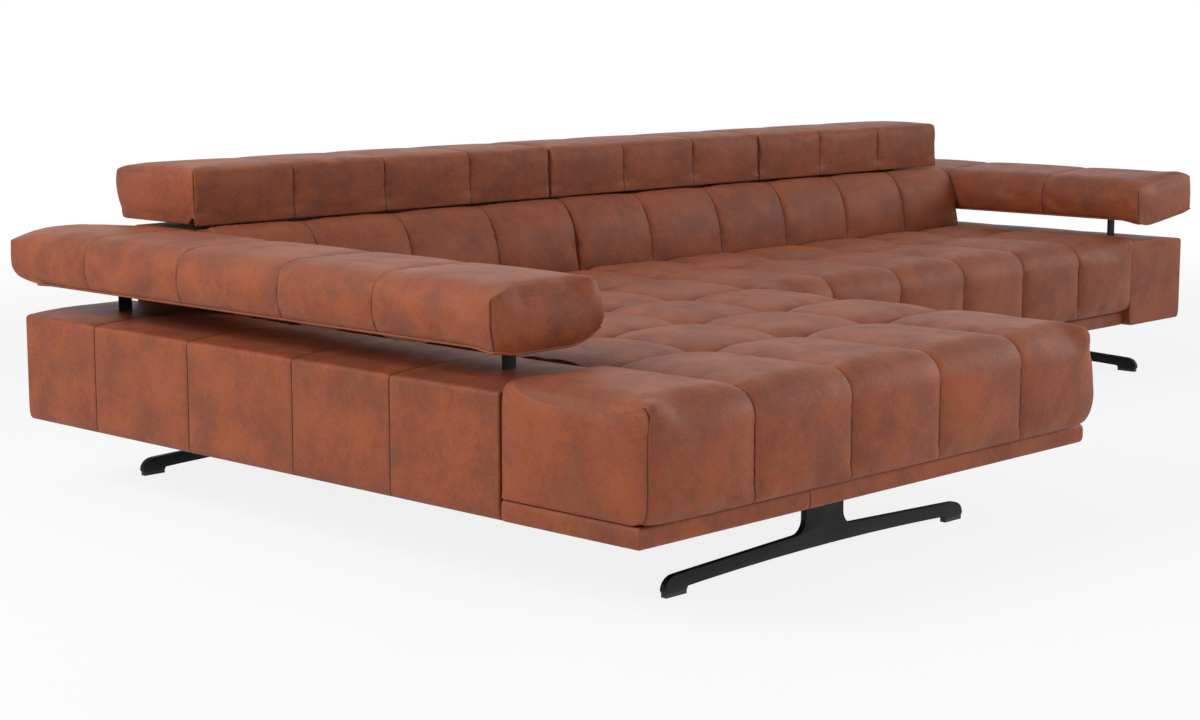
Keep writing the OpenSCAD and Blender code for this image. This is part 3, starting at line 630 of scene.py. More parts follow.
def pull_along(s, seams, give, line, valley, crown):
    """The same for a cover whose seams only run round it, with none along it."""
    return pull_of(away(s, seams), np.full(len(give), FAR), give, 0.0, line, valley, crown)


def marks_of(seams, cuts, rows=(), on_top=None):
    """Seam nearness of each vertex, and the cut number of each face."""

    def marks(s, path):
        near = np.exp(-away(s, seams) / 0.006)[:, None] * np.ones(len(path))[None]
        if len(rows):
            near_row = np.where(on_top(path), away(path[:, 0], rows), FAR)
            near = np.maximum(near, np.exp(-near_row / 0.006)[None])
        number = np.searchsorted(seams, s + 1e-6)[:, None] * 0.61
        row = np.searchsorted(rows, path[:, 0] + 1e-6)[None] * 1.37 if len(rows) else 0
        return near, (number + row + cuts) % 7.0 + np.zeros((len(s), len(path)))

    return marks


def dress(sewn, node, body="root"):
    """Leather, subdivision and the calls that tie a cushion to its CAD solid."""
    smooth(sewn.object)
    sewn.mesh.materials.append(LEATHER)
    tie(sewn.object, [node], body=body)
    return sewn


tuft_depth = pull_of(np.zeros(1), np.zeros(1), np.ones(1), TUFT)[0, 0]
print("a seam pulls", round(float(tuft_depth) * 1000, 1), "mm at a tuft")


# %% Cut and stuff a seat
def seat(name, node, x_seams, ends, bulge, rows, cuts, ear=(True, True), tuft=TUFT, open_end=False):
    """A rolled front, a tufted top and drawn-in ends. An ear stands out at each sewn front corner."""
    lo, hi = corners(node)
    y_f, y_r, z0 = lo[1], hi[1], Z_SEAT
    top, roll = CREST - 0.004, 0.066
    yc, zc = y_f + roll, top - roll
    back = [[y_r - 0.028, top], [y_r - 0.012, top - 0.007], [y_r - 0.003, top - 0.022]]
    row_lines = [yc, *[r for r in rows if yc < r < y_r - 0.035], y_r - 0.028]
    flat = []
    for k, (a, b) in enumerate(zip(row_lines, row_lines[1:])):
        first = SEAM if k else (0, 0.01)
        last = SEAM if b < row_lines[-1] else (0,)
        flat += steps(a, b, first, last)[0 if k else 1 : -1]
    over = arc(yc, zc, -roll, roll, 45, 90, 5)
    top_side = np.concatenate([over, [[y, top] for y in flat], back])
    roll_front = arc(yc, zc, -roll, roll, 0, 45, 6)
    front = resample([[y_f + 0.014, z0], [y_f + 0.004, z0 + 0.016], [y_f, z0 + 0.045], *roll_front], 16)
    rear = resample([back[-1], [y_r, top - 0.05], [y_r, z0]], 16)
    bottom = np.stack([top_side[::-1][:, 0], np.full(len(top_side), z0)], 1)
    bottom[0], bottom[-1] = rear[-1], front[0]

    def on_top(path):
        return (path[:, 1] > top - roll * 0.3) & (path[:, 0] > y_f + roll * 0.5)

    def draw(s, path):
        y, z = path[:, 0], path[:, 1]
        give = fade(z, z0 + 0.005, z0 + 0.04) * (y < y_r - 0.004)
        near_row = np.where(on_top(path), away(y, rows), FAR)
        on_front = (y < y_f + roll * 0.6) & (z < top - roll * 0.35)
        edge = np.minimum(s - s[0] if ear[0] else s * 0 + FAR, s[-1] - s if ear[1] else s * 0 + FAR)
        bow = 1 - np.sqrt(1 - np.clip(1 - edge / 0.085, 0, 1) ** 2)
        over_top = fade(z, top - 0.07, top - 0.01) * (1 - fade(y, y_r - 0.12, y_r - 0.03)) * (1 - on_front)
        side = 0.0065 * np.exp(-edge / 0.03)[:, None] * on_front[None]
        side = side + (0.013 * bow)[:, None] * over_top[None]
        return pull_of(away(s, x_seams), near_row, give, tuft) + side

    def edge_round(r_top):
        def r(path):
            y, z = path[:, 0], path[:, 1]
            rise = fade(z, top - 0.018, top - 0.001) * fade(y, y_f + 0.015, y_f + 0.12)
            rounded = np.where(y > y_r - 0.03, 0.008, 0.002 + (r_top - 0.002) * rise)
            return np.where(z < z0 + 0.002, 0.002, rounded)

        return r

    s = lines(lo[0] + bulge[0], hi[0] - bulge[1], x_seams, ends[0], ends[1])
    rounds = [edge_round(e) if corner else constant(0.0015) for e, corner in zip(ends, ear)]
    marks = marks_of(x_seams, cuts, rows, on_top)
    sewn = Sewn(name, (bottom, front, top_side, rear), s, "x", rounds, bulge, draw, marks)

    def pointed(co):
        """Pushes the roll out into an ear at each sewn corner, and draws the open end in above and below."""
        arm_y, arm_z = yc - co[:, 1], co[:, 2] - zc
        angle = np.degrees(np.arctan2(arm_z, arm_y))
        on_roll = (arm_y > -0.02) & (arm_z > -0.02)
        share = np.clip(np.hypot(arm_y, arm_z) / (0.8 * roll), 0, 1) ** 2 * on_roll
        out = 0.023 * share * np.clip(np.cos(np.radians(2 * (angle - 43))), 0, 1) ** 4
        for end, corner in enumerate(ear):
            far = co[:, 0] - lo[0] if end == 0 else hi[0] - co[:, 0]
            push = out * (1 - fade(far, 0.0, 0.10)) * corner
            co[:, 1] -= push * np.cos(np.radians(angle))
            co[:, 2] += push * np.sin(np.radians(angle))
        if open_end:
            near_end = 1 - fade(hi[0] - co[:, 0], 0.0, 0.09)
            height = [z0, z0 + 0.010, z0 + 0.025, 0.262, 0.33, 0.405, top]
            inset = np.interp(co[:, 2], height, [0.030, 0.024, 0.012, 0.001, 0.010, 0.031, 0.034])
            co[:, 0] -= near_end * inset * (1 - fade(co[:, 1], y_f + 0.05, y_f + 0.35))
        return co

    sewn.shift(pointed)
    held = sewn.pins()
    co = sewn.places()
    held[(co[:, 2] < z0 + 0.004) | (co[:, 1] > y_r - 0.02)] = 1.0
    for end, corner in enumerate(ear):
        held[sewn.corner_seam(end, -1, z0 - 0.001, top - 0.008) if corner else sewn.caps[end].ravel()] = 1.0
    far = np.minimum(*(np.abs(co[:, 0] - x) + FAR * (not corner) for x, corner in zip((lo[0], hi[0]), ear)))
    stuff(sewn, held, 0.005 * fade(np.hypot(far, np.maximum(co[:, 1] - y_f, 0)), 0.0, 0.05))
    return dress(sewn, node)


chaise_front, main_front = (corners(node)[0][1] for node in ("chaise_seat_cushion", "main_seat_cushion"))
seat("chaise_seat", "chaise_seat_cushion", chaise_seams, (0.002, 0.005), (0.0, 0.001),
     [chaise_front + FRONT_ROW + k * PANEL for k in range(5)], 0.3, ear=(False, True), open_end=True)
corner_seat = seat("chaise_corner", "chaise_corner_cushion", [X_SEAT - 0.0005], (0.018, 0.002), (0.001, 0.0),
                   [], 2.1, ear=(True, False))

# %% The two-seat unit's cushion
seat("main_seat", "main_seat_cushion", main_seams, (0.022, 0.011), (0.002, 0.002), [main_front + FRONT_ROW],
     4.4, tuft=0.017)

# %% [markdown]
# ## Back cushions
#
# Each back cushion stands on the platform behind the seat and leans on the back shell. Only its rounded
# front and top show. The seams are one panel apart, in line with those of the seat.


# %% Back cushions
def back_cushion(name, node, seams, cuts):
    lo, hi = corners(node)
    y_f, y_r, z0, top = lo[1] + 0.003, hi[1], Z_SEAT, hi[2] - 0.001
    low, deep = 0.424, 0.091
    front_arc = arc(y_f + deep, low, -deep, top - low, 0, 90, 18)
    front = np.concatenate([resample([[y_f, z0], [y_f, low]], 4)[:-1], front_arc[:13]])
    top_end = [[y_r - 0.044, top - 0.003], [y_r - 0.030, top - 0.0075], [y_r - 0.012, top - 0.011],
               [y_r, top - 0.012]]
    top_side = np.concatenate([front_arc[12:], top_end])
    rear = resample([top_end[-1], [y_r - 0.030, z0]], len(front) - 1)
    bottom = resample([rear[-1], front[0]], len(top_side) - 1)

    def draw(s, path):
        give = fade(path[:, 1], 0.41, 0.43) * (path[:, 0] < y_r - 0.03)
        edge = np.minimum(s - s[0], s[-1] - s)
        ends = 0.003 * np.exp(-edge / 0.02)[:, None] * give[None]
        return pull_along(s, seams, give, 0.0028, 0.0022, 0.0032) + ends

    s = lines(lo[0] + 0.001, hi[0] - 0.001, seams, 0.010, 0.010)
    sewn = Sewn(name, (bottom, front, top_side, rear), s, "x", [constant(0.004)] * 2, (0.001, 0.001), draw,
                marks_of(seams, cuts))
    held = sewn.pins()
    co = sewn.places()
    held[(co[:, 2] < 0.405) | (co[:, 1] > y_r - 0.025)] = 1.0
    stuff(sewn, held, 0.0045 - 0.0032 * fade(co[:, 2], 0.55, 0.59))
    return dress(sewn, node)


near_back = back_cushion("chaise_back", "chaise_back_cushion", chaise_seams[1:], 1.2)
back_cushion("main_back", "main_back_cushion", main_seams, 3.4)

# %% [markdown]
# ## Headrests
#
# A headrest is a padded box: full in front, cut away below at the rear, with a seam at every panel and a
# sewn edge up each front corner, which ends just below the top. Its front hangs down a little over the
# back cushion, which hides the hinges. A pocket below takes the board that they are screwed to.


# %% Headrests
def headrest(name, seams, cuts, reach_lo=-0.0005, reach_hi=-0.0005):
    """One headrest. Each end may reach past its solid, or stay short of it for the gap to the next one."""
    node = name + "_cushion"
    lo, hi = corners(node)
    y_f, y_r, skirt, top = lo[1], hi[1] - 0.001, lo[2], hi[2] - 0.002
    lip, apron = skirt + 0.0155, skirt - 0.003
    board_lo, board_hi = 0.7085, 0.9525
    r = 0.018
    edge = arc(y_f + r, top - 0.002 - r, -r, r, 0, 90, 6)
    over = [[y_f + 0.040, top - 0.0005], [y_f + 0.08, top + 0.001], [y_f + 0.16, top + 0.001],
            [y_f + 0.22, top - 0.002], [y_r - 0.045, top - 0.006], [y_r - 0.022, top - 0.012]]
    behind = arc(y_r - 0.014, top - 0.030, 0.014, 0.016, 70, 30, 2)
    top_side = np.concatenate([edge[3:], resample([edge[-1], *over, behind[0]], 14)[1:-1], behind])
    nu = len(top_side) - 1
    down = [[y_r, top - 0.040], [y_r - 0.002, top - 0.055], [y_r - 0.010, skirt + 0.05], [y_r - 0.029, skirt]]
    pocket = np.stack([np.linspace(board_hi + 0.002, board_lo + 0.004, nu - 6), np.full(nu - 6, skirt)], 1)
    hem = [[board_lo - 0.001, lip], [y_f + 0.006, lip], [y_f + 0.0048, apron + 0.004],
           [y_f + 0.0040, apron + 0.0007], [y_f + 0.0028, apron]]
    bottom = np.concatenate([[down[-1], [board_hi + 0.0045, skirt]], pocket, hem])
    under = [[y_f + 0.0028, apron], [y_f + 0.0010, apron + 0.0008], [y_f + 0.0002, apron + 0.003],
             [y_f, apron + 0.007]]
    face = resample([under[-1], [y_f - 0.0010, apron + 0.014], [y_f - 0.0012, (lip + top) / 2], edge[0]], 9)
    front = np.concatenate([under, face[1:-1], edge[:4]])
    rear = resample([top_side[-1], *down], len(front) - 1)

    def draw(s, path):
        y, z = path[:, 0], path[:, 1]
        give = fade(z, lip + 0.001, lip + 0.012)
        edge_s = np.minimum(s - s[0], s[-1] - s)
        on_front = (y < y_f + 0.010) & (z < top - 0.010)
        side = 0.004 * np.exp(-edge_s / 0.025)[:, None] * (on_front * give)[None]
        slack = 0.0015 * np.exp(-edge_s / 0.11)[:, None] * (z > top - 0.010)[None]
        give = give * np.where((z > top - 0.012) & (y > y_f + 0.01), 0.55, 1.0)
        return pull_along(s, seams, give, 0.0026, 0.0014, 0.0022) + side + slack

    def edge_round(path):
        y, z = path[:, 0], path[:, 1]
        rise = np.where(y < y_f + 0.05, fade(y, y_f + 0.003, y_f + 0.045) * (z > top - 0.03), 1.0)
        wide = np.where(y > y_r - 0.03, 0.004, np.where(z > top - 0.05, 0.015, 0.006))
        return np.where(z < lip + 0.004, 0.001, 0.002 + wide * rise)

    s = lines(lo[0] - reach_lo, hi[0] + reach_hi, seams, 0.017, 0.017)
    sewn = Sewn(name, (bottom, front, top_side, rear), s, "x", [edge_round] * 2, (0.002, 0.002), draw,
                marks_of(seams, cuts))

    def lift(co):
        """Raises the roof of the pocket to the lip, between its two ends."""
        inside = (co[:, 0] > lo[0] + 0.011) & (co[:, 0] < hi[0] - 0.011)
        inside &= (co[:, 1] > board_lo + 0.001) & (co[:, 1] < board_hi + 0.003)
        co[inside & (co[:, 2] < skirt + 0.012), 2] = lip + 0.0020
        return co

    sewn.shift(lift)
    held = sewn.pins()
    co = sewn.places()
    held[co[:, 2] < lip + 0.006] = 1.0
    for end in (0, 1):
        held[sewn.corner_seam(end, -1, apron + 0.004, top - 0.008)] = 1.0
    stuff(sewn, held, 0.0022 + 0.0015 * fade(co[:, 1], y_f + 0.01, y_f + 0.05))
    dress(sewn, node, name)


headrest("left_headrest", chaise_seams[1:], 0.9, reach_lo=0.004)
headrest("middle_headrest", main_seams[:2], 2.6)
headrest("right_headrest", main_seams[3:], 5.1, reach_hi=0.018)

# %% [markdown]
# ## Arms
#
# The arm cushions are long pillows: flat below, full at the sides and crowned above, with a hem all round
# the lower edge and a sewn edge up each corner. They float on two flat posts over the arm bases, which are
# firm upholstered blocks with crisp edges.


# %% Arm cushions
def arm_cushion(name, node, seams, within, cuts, ahead=0.018, full=0.014, roll=0.026, droop=1.0):
    """One pillow. The seat is on the side that within points to, 1 or -1 along x."""
    lo, hi = corners(node)
    mid, half = (lo[0] + hi[0]) / 2, (hi[0] - lo[0]) / 2 + 0.004
    low, top = lo[2] + 0.001, hi[2] + 0.002
    rise = 0.104
    ear = low + rise
    side = [[half - 0.019, low + 0.002], [half - 0.010, low + 0.009], [half - 0.0035, low + 0.024],
            [half - 0.0005, low + 0.042], [half, low + 0.058], [half - 0.001, low + 0.076],
            [half - 0.0035, low + 0.092], [half - 0.008, ear]]
    right = resample(side, 12)
    crown = [side[-1], [half - 0.012, ear + 0.0065], [half - 0.020, ear + 0.0125],
             [half - 0.034, ear + 0.0185], [half - 0.058, ear + 0.0235],
             [half - 0.095, top - 0.0010], [0, top]]
    across = distances(crown)[-1]
    at = np.array([0, 0.0025, 0.007, 0.013, 0.021, 0.031, 0.044, 0.060, 0.078, 0.097, 0.118, 0.138, across])
    crown = sample(crown, at)
    over = np.concatenate([crown, (crown[:-1] * [-1, 1])[::-1]])
    left = right[::-1] * [-1, 1]
    foot = sample([right[0], [half - 0.05, low], [0, low]], at * (half - 0.018) / across)
    bottom = np.concatenate([foot[:-1] * [-1, 1], foot[::-1]])
    sides = [part + np.array([mid, 0.0]) for part in (bottom, right, over, left)]
    seams = sorted(seams)

    def draw(s, path):
        upper = fade(path[:, 1], ear - 0.012, ear + 0.012)
        give = fade(path[:, 1], low + 0.001, low + 0.014) * (1 - 0.45 * upper)
        ends = np.exp(-(s - s[0]) / 0.03)[:, None] * (0.0015 * give * (1 - upper))[None]
        slack = np.exp(-(s - s[0]) / 0.12)[:, None] * (0.0030 * upper)[None]
        return pull_along(s, seams, give, 0.0024, 0.0014, 0.0018) + ends + slack

    def edge_round(r_top):
        def r(path):
            inner = fade(half - np.abs(path[:, 0] - mid), 0.022, 0.090) * (path[:, 1] > ear - 0.004)
            return np.where(path[:, 1] < low + 0.004, 0.0005, 0.0012 + r_top * inner)

        return r

    y_front, y_rear = lo[1] + ahead, hi[1] + 0.004
    s = lines(y_front, y_rear, seams, 0.03, 0.016)
    rounds = [edge_round(roll), edge_round(0.001)]
    sewn = Sewn(name, sides, s, "y", rounds, (full, 0.001), draw, marks_of(seams, cuts))

    def squared(co):
        """Fills out the corners to square ends, and draws the front in on the side of the seat."""
        height, reach = co[:, 2] - low, half - np.abs(co[:, 0] - mid)
        inner_side = ((co[:, 0] - mid) * within > 0) * droop
        fore, last = 1 - fade(co[:, 1], y_front, y_front + 0.08), fade(co[:, 1], y_rear - 0.06, y_rear)
        below = height < rise
        out = np.interp(height, [0, 0.009, 0.024, 0.076, 0.092, rise],
                        [0.012, 0.008, 0.002, 0.001, 0.0035, 0.007])
        out = np.where(below, out, 0.007 * np.exp(-np.maximum(reach - 0.008, 0) / 0.012)) * (reach < 0.06)
        drawn = np.interp(height, [0, 0.024, 0.042, 0.058, 0.076, 0.092, rise],
                          [0, 0.001, 0.001, 0.002, 0.006, 0.010, 0.012])
        drawn = np.where(below, drawn * (reach < 0.05), 0.012 * np.clip(1 - (reach - 0.008) / 0.142, 0, 1))
        out = out * np.maximum(fore * (1 - inner_side), last) - drawn * fore * inner_side
        co[:, 0] += np.sign(co[:, 0] - mid) * out
        return height, inner_side

    def lean(co):
        """Shapes both ends: the rear slants below, the front sags inwards, and the crown is flatter."""
        height, inner_side = squared(co)
        rear = fade(co[:, 1], y_rear - 0.20, y_rear)
        slant = np.interp(height, [0, 0.005, 0.010, 0.019, 0.037, 0.07],
                          [0.105, 0.090, 0.046, 0.019, 0.004, 0])
        co[:, 1] -= rear * slant
        fore = 1 - fade(co[:, 1], y_front, y_front + 0.06)
        co[:, 1] -= fore * np.interp(height, [0, 0.03, 0.10], [0.006, 0.003, 0])
        inner = (co[:, 0] - mid) * within
        foot = droop * fade(inner, half - 0.11, half) * (1 - fade(height, 0.0, 0.05))
        co[:, 2] += fore * (0.019 * foot - 0.004 * (1 - fade(height, 0.0, 0.03)) * (1 - foot))
        co[:, 2] += droop * fore * 0.010 * fade(inner, half - 0.09, half) * fade(height, 0.08, 0.10)
        reach = half - np.abs(co[:, 0] - mid)
        co[:, 2] += 0.006 * (1 - fade(reach, 0.02, 0.06)) * (1 - fade(height, 0.0, 0.07))
        spans = [0.004, 0.014, 0.030, 0.060, 0.104, 0.150]
        arch = low + np.interp(reach, spans, [rise, 0.107, 0.112, 0.120, 0.1275, 0.1285])
        arch += 0.010 * inner_side * fore * (1 - fade(reach, 0.02, 0.10))
        flat = np.maximum(rear, 0.8 * fore) * (height > rise)
        co[:, 2] += flat * np.minimum(arch - co[:, 2], 0)
        co[:, 2] += (1 - droop) * (-0.004 - 0.004 * fore + (0.014 + 0.014 * fore) * fade(-inner, -half, half))
        return co

    sewn.shift(lean)
    held = sewn.pins()
    held[: sewn.n * sewn.m][np.tile(sewn.path[:, 1] < low + 0.012, sewn.m)] = 1.0
    for end in (0, 1):
        for row in (0, -1):
            held[sewn.corner_seam(end, row, low + 0.001, ear + 0.012)] = 1.0
        held[sewn.caps[end][:, 0]] = 1.0
    held[sewn.caps[1].ravel()] = 1.0
    co = sewn.places()
    to_ear = np.hypot(np.maximum(half - np.abs(co[:, 0] - mid), 0), np.maximum(co[:, 1] - y_front, 0))
    stuff(sewn, held, 0.004 * fade(y_rear - co[:, 1], 0.0, 0.09) * fade(to_ear, 0.0, 0.06))
    return dress(sewn, node)


near_arm = arm_cushion("chaise_arm_pillow", "chaise_arm_cushion", (0.704, 0.360, 0.018, -0.276), 1, 1.7)
far_arm = arm_cushion("main_arm_pillow", "main_arm_cushion", (0.640, 0.270), -1, 4.9,
                      ahead=-0.012, full=0.006, roll=0.012, droop=0.0)


# %% Arm bases
def arm_base(name, node, seams, within, cuts):
    lo, hi = corners(node)
    mid, half = (lo[0] + hi[0]) / 2, (hi[0] - lo[0]) / 2 + 0.001
    z0, r = lo[2], 0.011
    edge = hi[2] - 0.009
    foot = [[half - 0.006, z0], [half - 0.002, z0 + 0.002], [half - 0.0005, z0 + 0.007], [half, z0 + 0.025],
            [half, z0 + 0.08], [half, edge - r]]
    right = np.concatenate([resample(foot, 13)[:-1], arc(half - r, edge - r, r, r, 0, 45, 3)])
    crown = arc(half - r, edge - r, r, r, 45, 90, 3)
    inner = half - r
    over = np.array([[x, edge + 0.008 * (1 - (x / inner) ** 2)] for x in np.linspace(inner, -half + r, 15)])
    top_side = np.concatenate([crown, over[1:-1], crown[::-1] * [-1, 1]])
    left = right[::-1] * [-1, 1]
    bottom = resample([left[-1], right[0]], len(top_side) - 1)
    sides = [part + np.array([mid, 0.0]) for part in (bottom, right, top_side, left)]
    seams = sorted(seams)

    def draw(s, path):
        return pull_along(s, seams, fade(path[:, 1], z0 + 0.002, z0 + 0.03), 0.0022, 0.0006, 0.0010)

    s = lines(lo[1], hi[1] + 0.004, seams, 0.006, 0.006)
    sewn = Sewn(name, sides, s, "y", [constant(0.004)] * 2, (0.001, 0.001), draw, marks_of(seams, cuts))

    def level(co):
        """Raises the top edge on the side of the seat and moves it out a little."""
        side = np.clip((co[:, 0] - mid) / half * within, 0, 1)
        high = fade(co[:, 2], edge - 0.03, edge)
        co[:, 2] += 0.010 * side**2 * high
        co[:, 0] += within * 0.004 * fade(side, 0.9, 1.0) * high
        return co

    sewn.shift(level)
    dress(sewn, node)


arm_base("chaise_arm_block", "chaise_arm_base", (0.689, 0.343, -0.011, -0.312), 1, 0.6)
arm_base("main_arm_block", "main_arm_base", (0.622, 0.286), -1, 3.9)

# %% [markdown]
# ## Plinths and back shells
#
# Below the seats runs a narrow band of leather over a board, set back a little so that it lies in shade.
# The backs are shells covered in the same leather, with a seam at every panel.


# %% Bands of leather over the plinth boards
def plan_line(route, seams):
    """Stations of a band along a route in plan: place, inward direction, distance to the nearest seam,
    depth of the pull, distance to the next corner, and the direction away from it."""
    stations = []
    route = [np.array(point) for point in route]
    ways = [(b - a) / np.linalg.norm(b - a) for a, b in zip(route, route[1:])]
    inner = [np.array([-way[1], way[0]]) for way in ways]
    for k, (start, stop) in enumerate(zip(route, route[1:])):
        way, length = ways[k], np.linalg.norm(stop - start)
        marks = [np.dot(np.array(mark) - start, way) for mark in seams[k]]
        first, last = k == 0, k == len(ways) - 1
        at = lines(0.0, length, marks, 0.006, 0.006, 0.04)
        for d in at[0 if first else 1 : None if last else -1]:
            near_mark = min([abs(d - mark) for mark in marks], default=1.0)
            end = min(d if first else 1.0, length - d if last else 1.0)
            turn = min(1.0 if first else d, 1.0 if last else length - d)
            inset = 0.0014 * np.exp(-turn / 0.003) + 0.0045 * np.exp(-end / 0.0015)
            back = way if not first and d < length / 2 else -way
            stations.append((start + way * d, inner[k], near_mark, inset, turn, back))
        if not last:
            stations.append((stop, inner[k] + inner[k + 1], 0.003, 0.0014, 1.0, way))
    return stations


def band(name, nodes, route, seams, cuts):
    """A padded leather band: its outer face follows the route, whose inner side is on the left."""
    lo, hi = corners(nodes[0])
    z0, z1 = lo[2], hi[2]
    middle = (z0 + z1) / 2
    upper = [(0.018, z1 - 0.0005), (0.010, z1 - 0.0005), (0.0055, z1 - 0.0015), (0.002, z1 - 0.0050),
             (0.0004, z1 - 0.012)]
    lower = [(0.0004, z0 + 0.012), (0.002, z0 + 0.0050), (0.0055, z0 + 0.0012), (0.010, z0), (0.018, z0)]
    profile = [*upper, (0.0, middle), *lower]
    stations = plan_line(route, seams)
    n, m = len(profile), len(stations)
    rows, near = [], []
    for place, way, close, inset, turn, back in stations:
        pull = inset + 0.0016 * math.exp(-close / 0.004)
        squeeze = 1 - 0.12 * min(1.0, inset / 0.0045)
        near += [math.exp(-close / 0.006)] * n
        for d, z in profile:
            spot = place + back * max(0.0, d - turn) + way * (d + pull * (d < 0.012))
            rows.append((*spot, middle + (z - middle) * squeeze))
    faces = [(i * n + j, i * n + (j + 1) % n, (i + 1) * n + (j + 1) % n, (i + 1) * n + j)
             for i in range(m - 1) for j in range(n)]
    for first in (0, (m - 1) * n):
        faces += [(first + j, first + j + 1, first + n - 2 - j, first + n - 1 - j) for j in range(n // 2 - 1)]
        faces.append((first + n // 2 - 1, first + n // 2, first + n // 2 + 1))
    mesh = bpy.data.meshes.new(name)
    mesh.from_pydata(rows, [], faces)
    rework(mesh, lambda made: bmesh.ops.recalc_face_normals(made, faces=made.faces))
    mesh.materials.append(LEATHER)
    note(mesh, "seam_near", "POINT", near)
    note(mesh, "cut", "FACE", np.full(len(mesh.polygons), cuts))
    piece = show(name, mesh)
    smooth(piece)
    tie(piece, nodes)


plinth_lo, plinth_hi = corners("chaise_front_plinth")
front_y, side_end = plinth_lo[1], corners("chaise_side_plinths")[1][1]
chaise_route = [(plinth_lo[0], base_lo[1] - 0.001), (plinth_lo[0], front_y), (plinth_hi[0], front_y),
                (plinth_hi[0], side_end)]
band("chaise_band", ("chaise_front_plinth", "chaise_side_plinths"), chaise_route,
     [[], [(BAND_SEAM, front_y)], [(plinth_hi[0], front_y + BAND_SIDE_SEAM)]], 0.8)
main_lo, main_hi = corners("main_front_plinth")
band("main_band", ("main_front_plinth",), [(main_lo[0], main_lo[1]), (main_hi[0], main_lo[1])],
     [[((main_lo[0] + main_hi[0]) / 2, main_lo[1])]], 2.7)


# %% Back shells
def back_shell(name, node, seams, cuts):
    lo, hi = corners(node)
    y_r, z0, top = hi[1], lo[2], hi[2]
    foot, front_top = lo[1], lo[1] + 0.030
    r = 0.009
    front = resample([[foot + 0.001, Z_SEAT], [front_top, top - r]], 6)
    front = np.concatenate([front[:-1], arc(front_top + r, top - r, -r, r, 0, 45, 3)])
    a, b = arc(front_top + r, top - r, -r, r, 45, 90, 3), arc(y_r - r, top - r, r, r, 90, 45, 3)
    top_side = np.concatenate([a, resample([a[-1], b[0]], 8)[1:-1], b])
    rear = resample([b[-1], [y_r, top - 0.04], [y_r, z0]], len(front) - 1)
    bottom = resample([rear[-1], [y_r - 0.012, z0], [y_r - 0.02, Z_SEAT], front[0]], len(top_side) - 1)

    def draw(s, path):
        give = (path[:, 0] > y_r - 0.01) * fade(path[:, 1], z0 + 0.01, z0 + 0.04)
        return pull_along(s, seams, give, 0.0022, 0.0008, 0.0015)

    s = lines(lo[0], hi[0], seams, 0.008, 0.008)
    sewn = Sewn(name, (bottom, front, top_side, rear), s, "x", [constant(0.006)] * 2, (0, 0), draw,
                marks_of(seams, cuts))
    smooth(sewn.object)
    sewn.mesh.materials.append(LEATHER)
    tie(sewn.object, [node])


back_shell("chaise_back_cover", "chaise_back_shell", chaise_seams[1:], 2.2)
back_shell("main_back_cover", "main_back_shell", main_seams, 5.6)

# %% [markdown]
# ## Welts
#
# Where two covers meet at an edge, the maker sews in a welt: a thin cord in a strip of the same leather.
# It follows the seam, so a Geometry Nodes tree makes it: the line of the seam becomes a curve, is
# resampled at even steps, and a small circle is swept along it.


# %% A tree that sweeps a welt along a line
def welt_tree():
    tree = bpy.data.node_groups.new("welt", "GeometryNodeTree")
    tree.interface.new_socket("Line", in_out="INPUT", socket_type="NodeSocketGeometry")
    for label, value in (("Radius", 0.002), ("Step", 0.006)):
        tree.interface.new_socket(label, in_out="INPUT", socket_type="NodeSocketFloat").default_value = value
    tree.interface.new_socket("Cover", in_out="INPUT", socket_type="NodeSocketMaterial")
    tree.interface.new_socket("Welt", in_out="OUTPUT", socket_type="NodeSocketGeometry")
    start, end = tree.nodes.new("NodeGroupInput"), tree.nodes.new("NodeGroupOutput")
    kinds = ("MeshToCurve", "ResampleCurve", "CurvePrimitiveCircle", "CurveToMesh", "RealizeInstances",
             "SetMaterial")
    curve, even, profile, tube, real, paint = (tree.nodes.new("GeometryNode" + kind) for kind in kinds)
    even.mode = "LENGTH"
    profile.inputs["Resolution"].default_value = 8
    tube.inputs["Fill Caps"].default_value = True
    for source, output, target, socket in (
        (start, "Line", curve, 0), (curve, 0, even, "Curve"), (start, "Step", even, "Length"),
        (start, "Radius", profile, "Radius"), (even, 0, tube, "Curve"), (profile, 0, tube, "Profile Curve"),
        (tube, 0, real, 0), (real, 0, paint, "Geometry"), (start, "Cover", paint, "Material"),
        (paint, 0, end, 0),
    ):
        tree.links.new(source.outputs[output], target.inputs[socket])
    return tree


WELT = welt_tree()
print("welt tree:", len(WELT.nodes), "nodes")


# %% Lay the welts
def welt(name, run, radius):
    """Sweeps the welt tree along a line of points and keeps the plain mesh."""
    mesh = bpy.data.meshes.new(name + "_line")
    mesh.from_pydata([tuple(p) for p in run], [(k, k + 1) for k in range(len(run) - 1)], [])
    line = show(name + "_line", mesh)
    sweep = line.modifiers.new("welt", "NODES")
    sweep.node_group = WELT
    for item in WELT.interface.items_tree:
        if item.in_out == "INPUT" and item.name in ("Radius", "Cover"):
            sweep[item.identifier] = radius if item.name == "Radius" else LEATHER
    graph = bpy.context.evaluated_depsgraph_get()
    made = bpy.data.meshes.new_from_object(line.evaluated_get(graph))
    bpy.data.objects.remove(line)
    # The welts count as half near a seam, so they take part of the painted seam shade
    note(made, "seam_near", "POINT", np.full(len(made.vertices), 0.45))
    made.shade_smooth()
    tie(show(name, made), ())


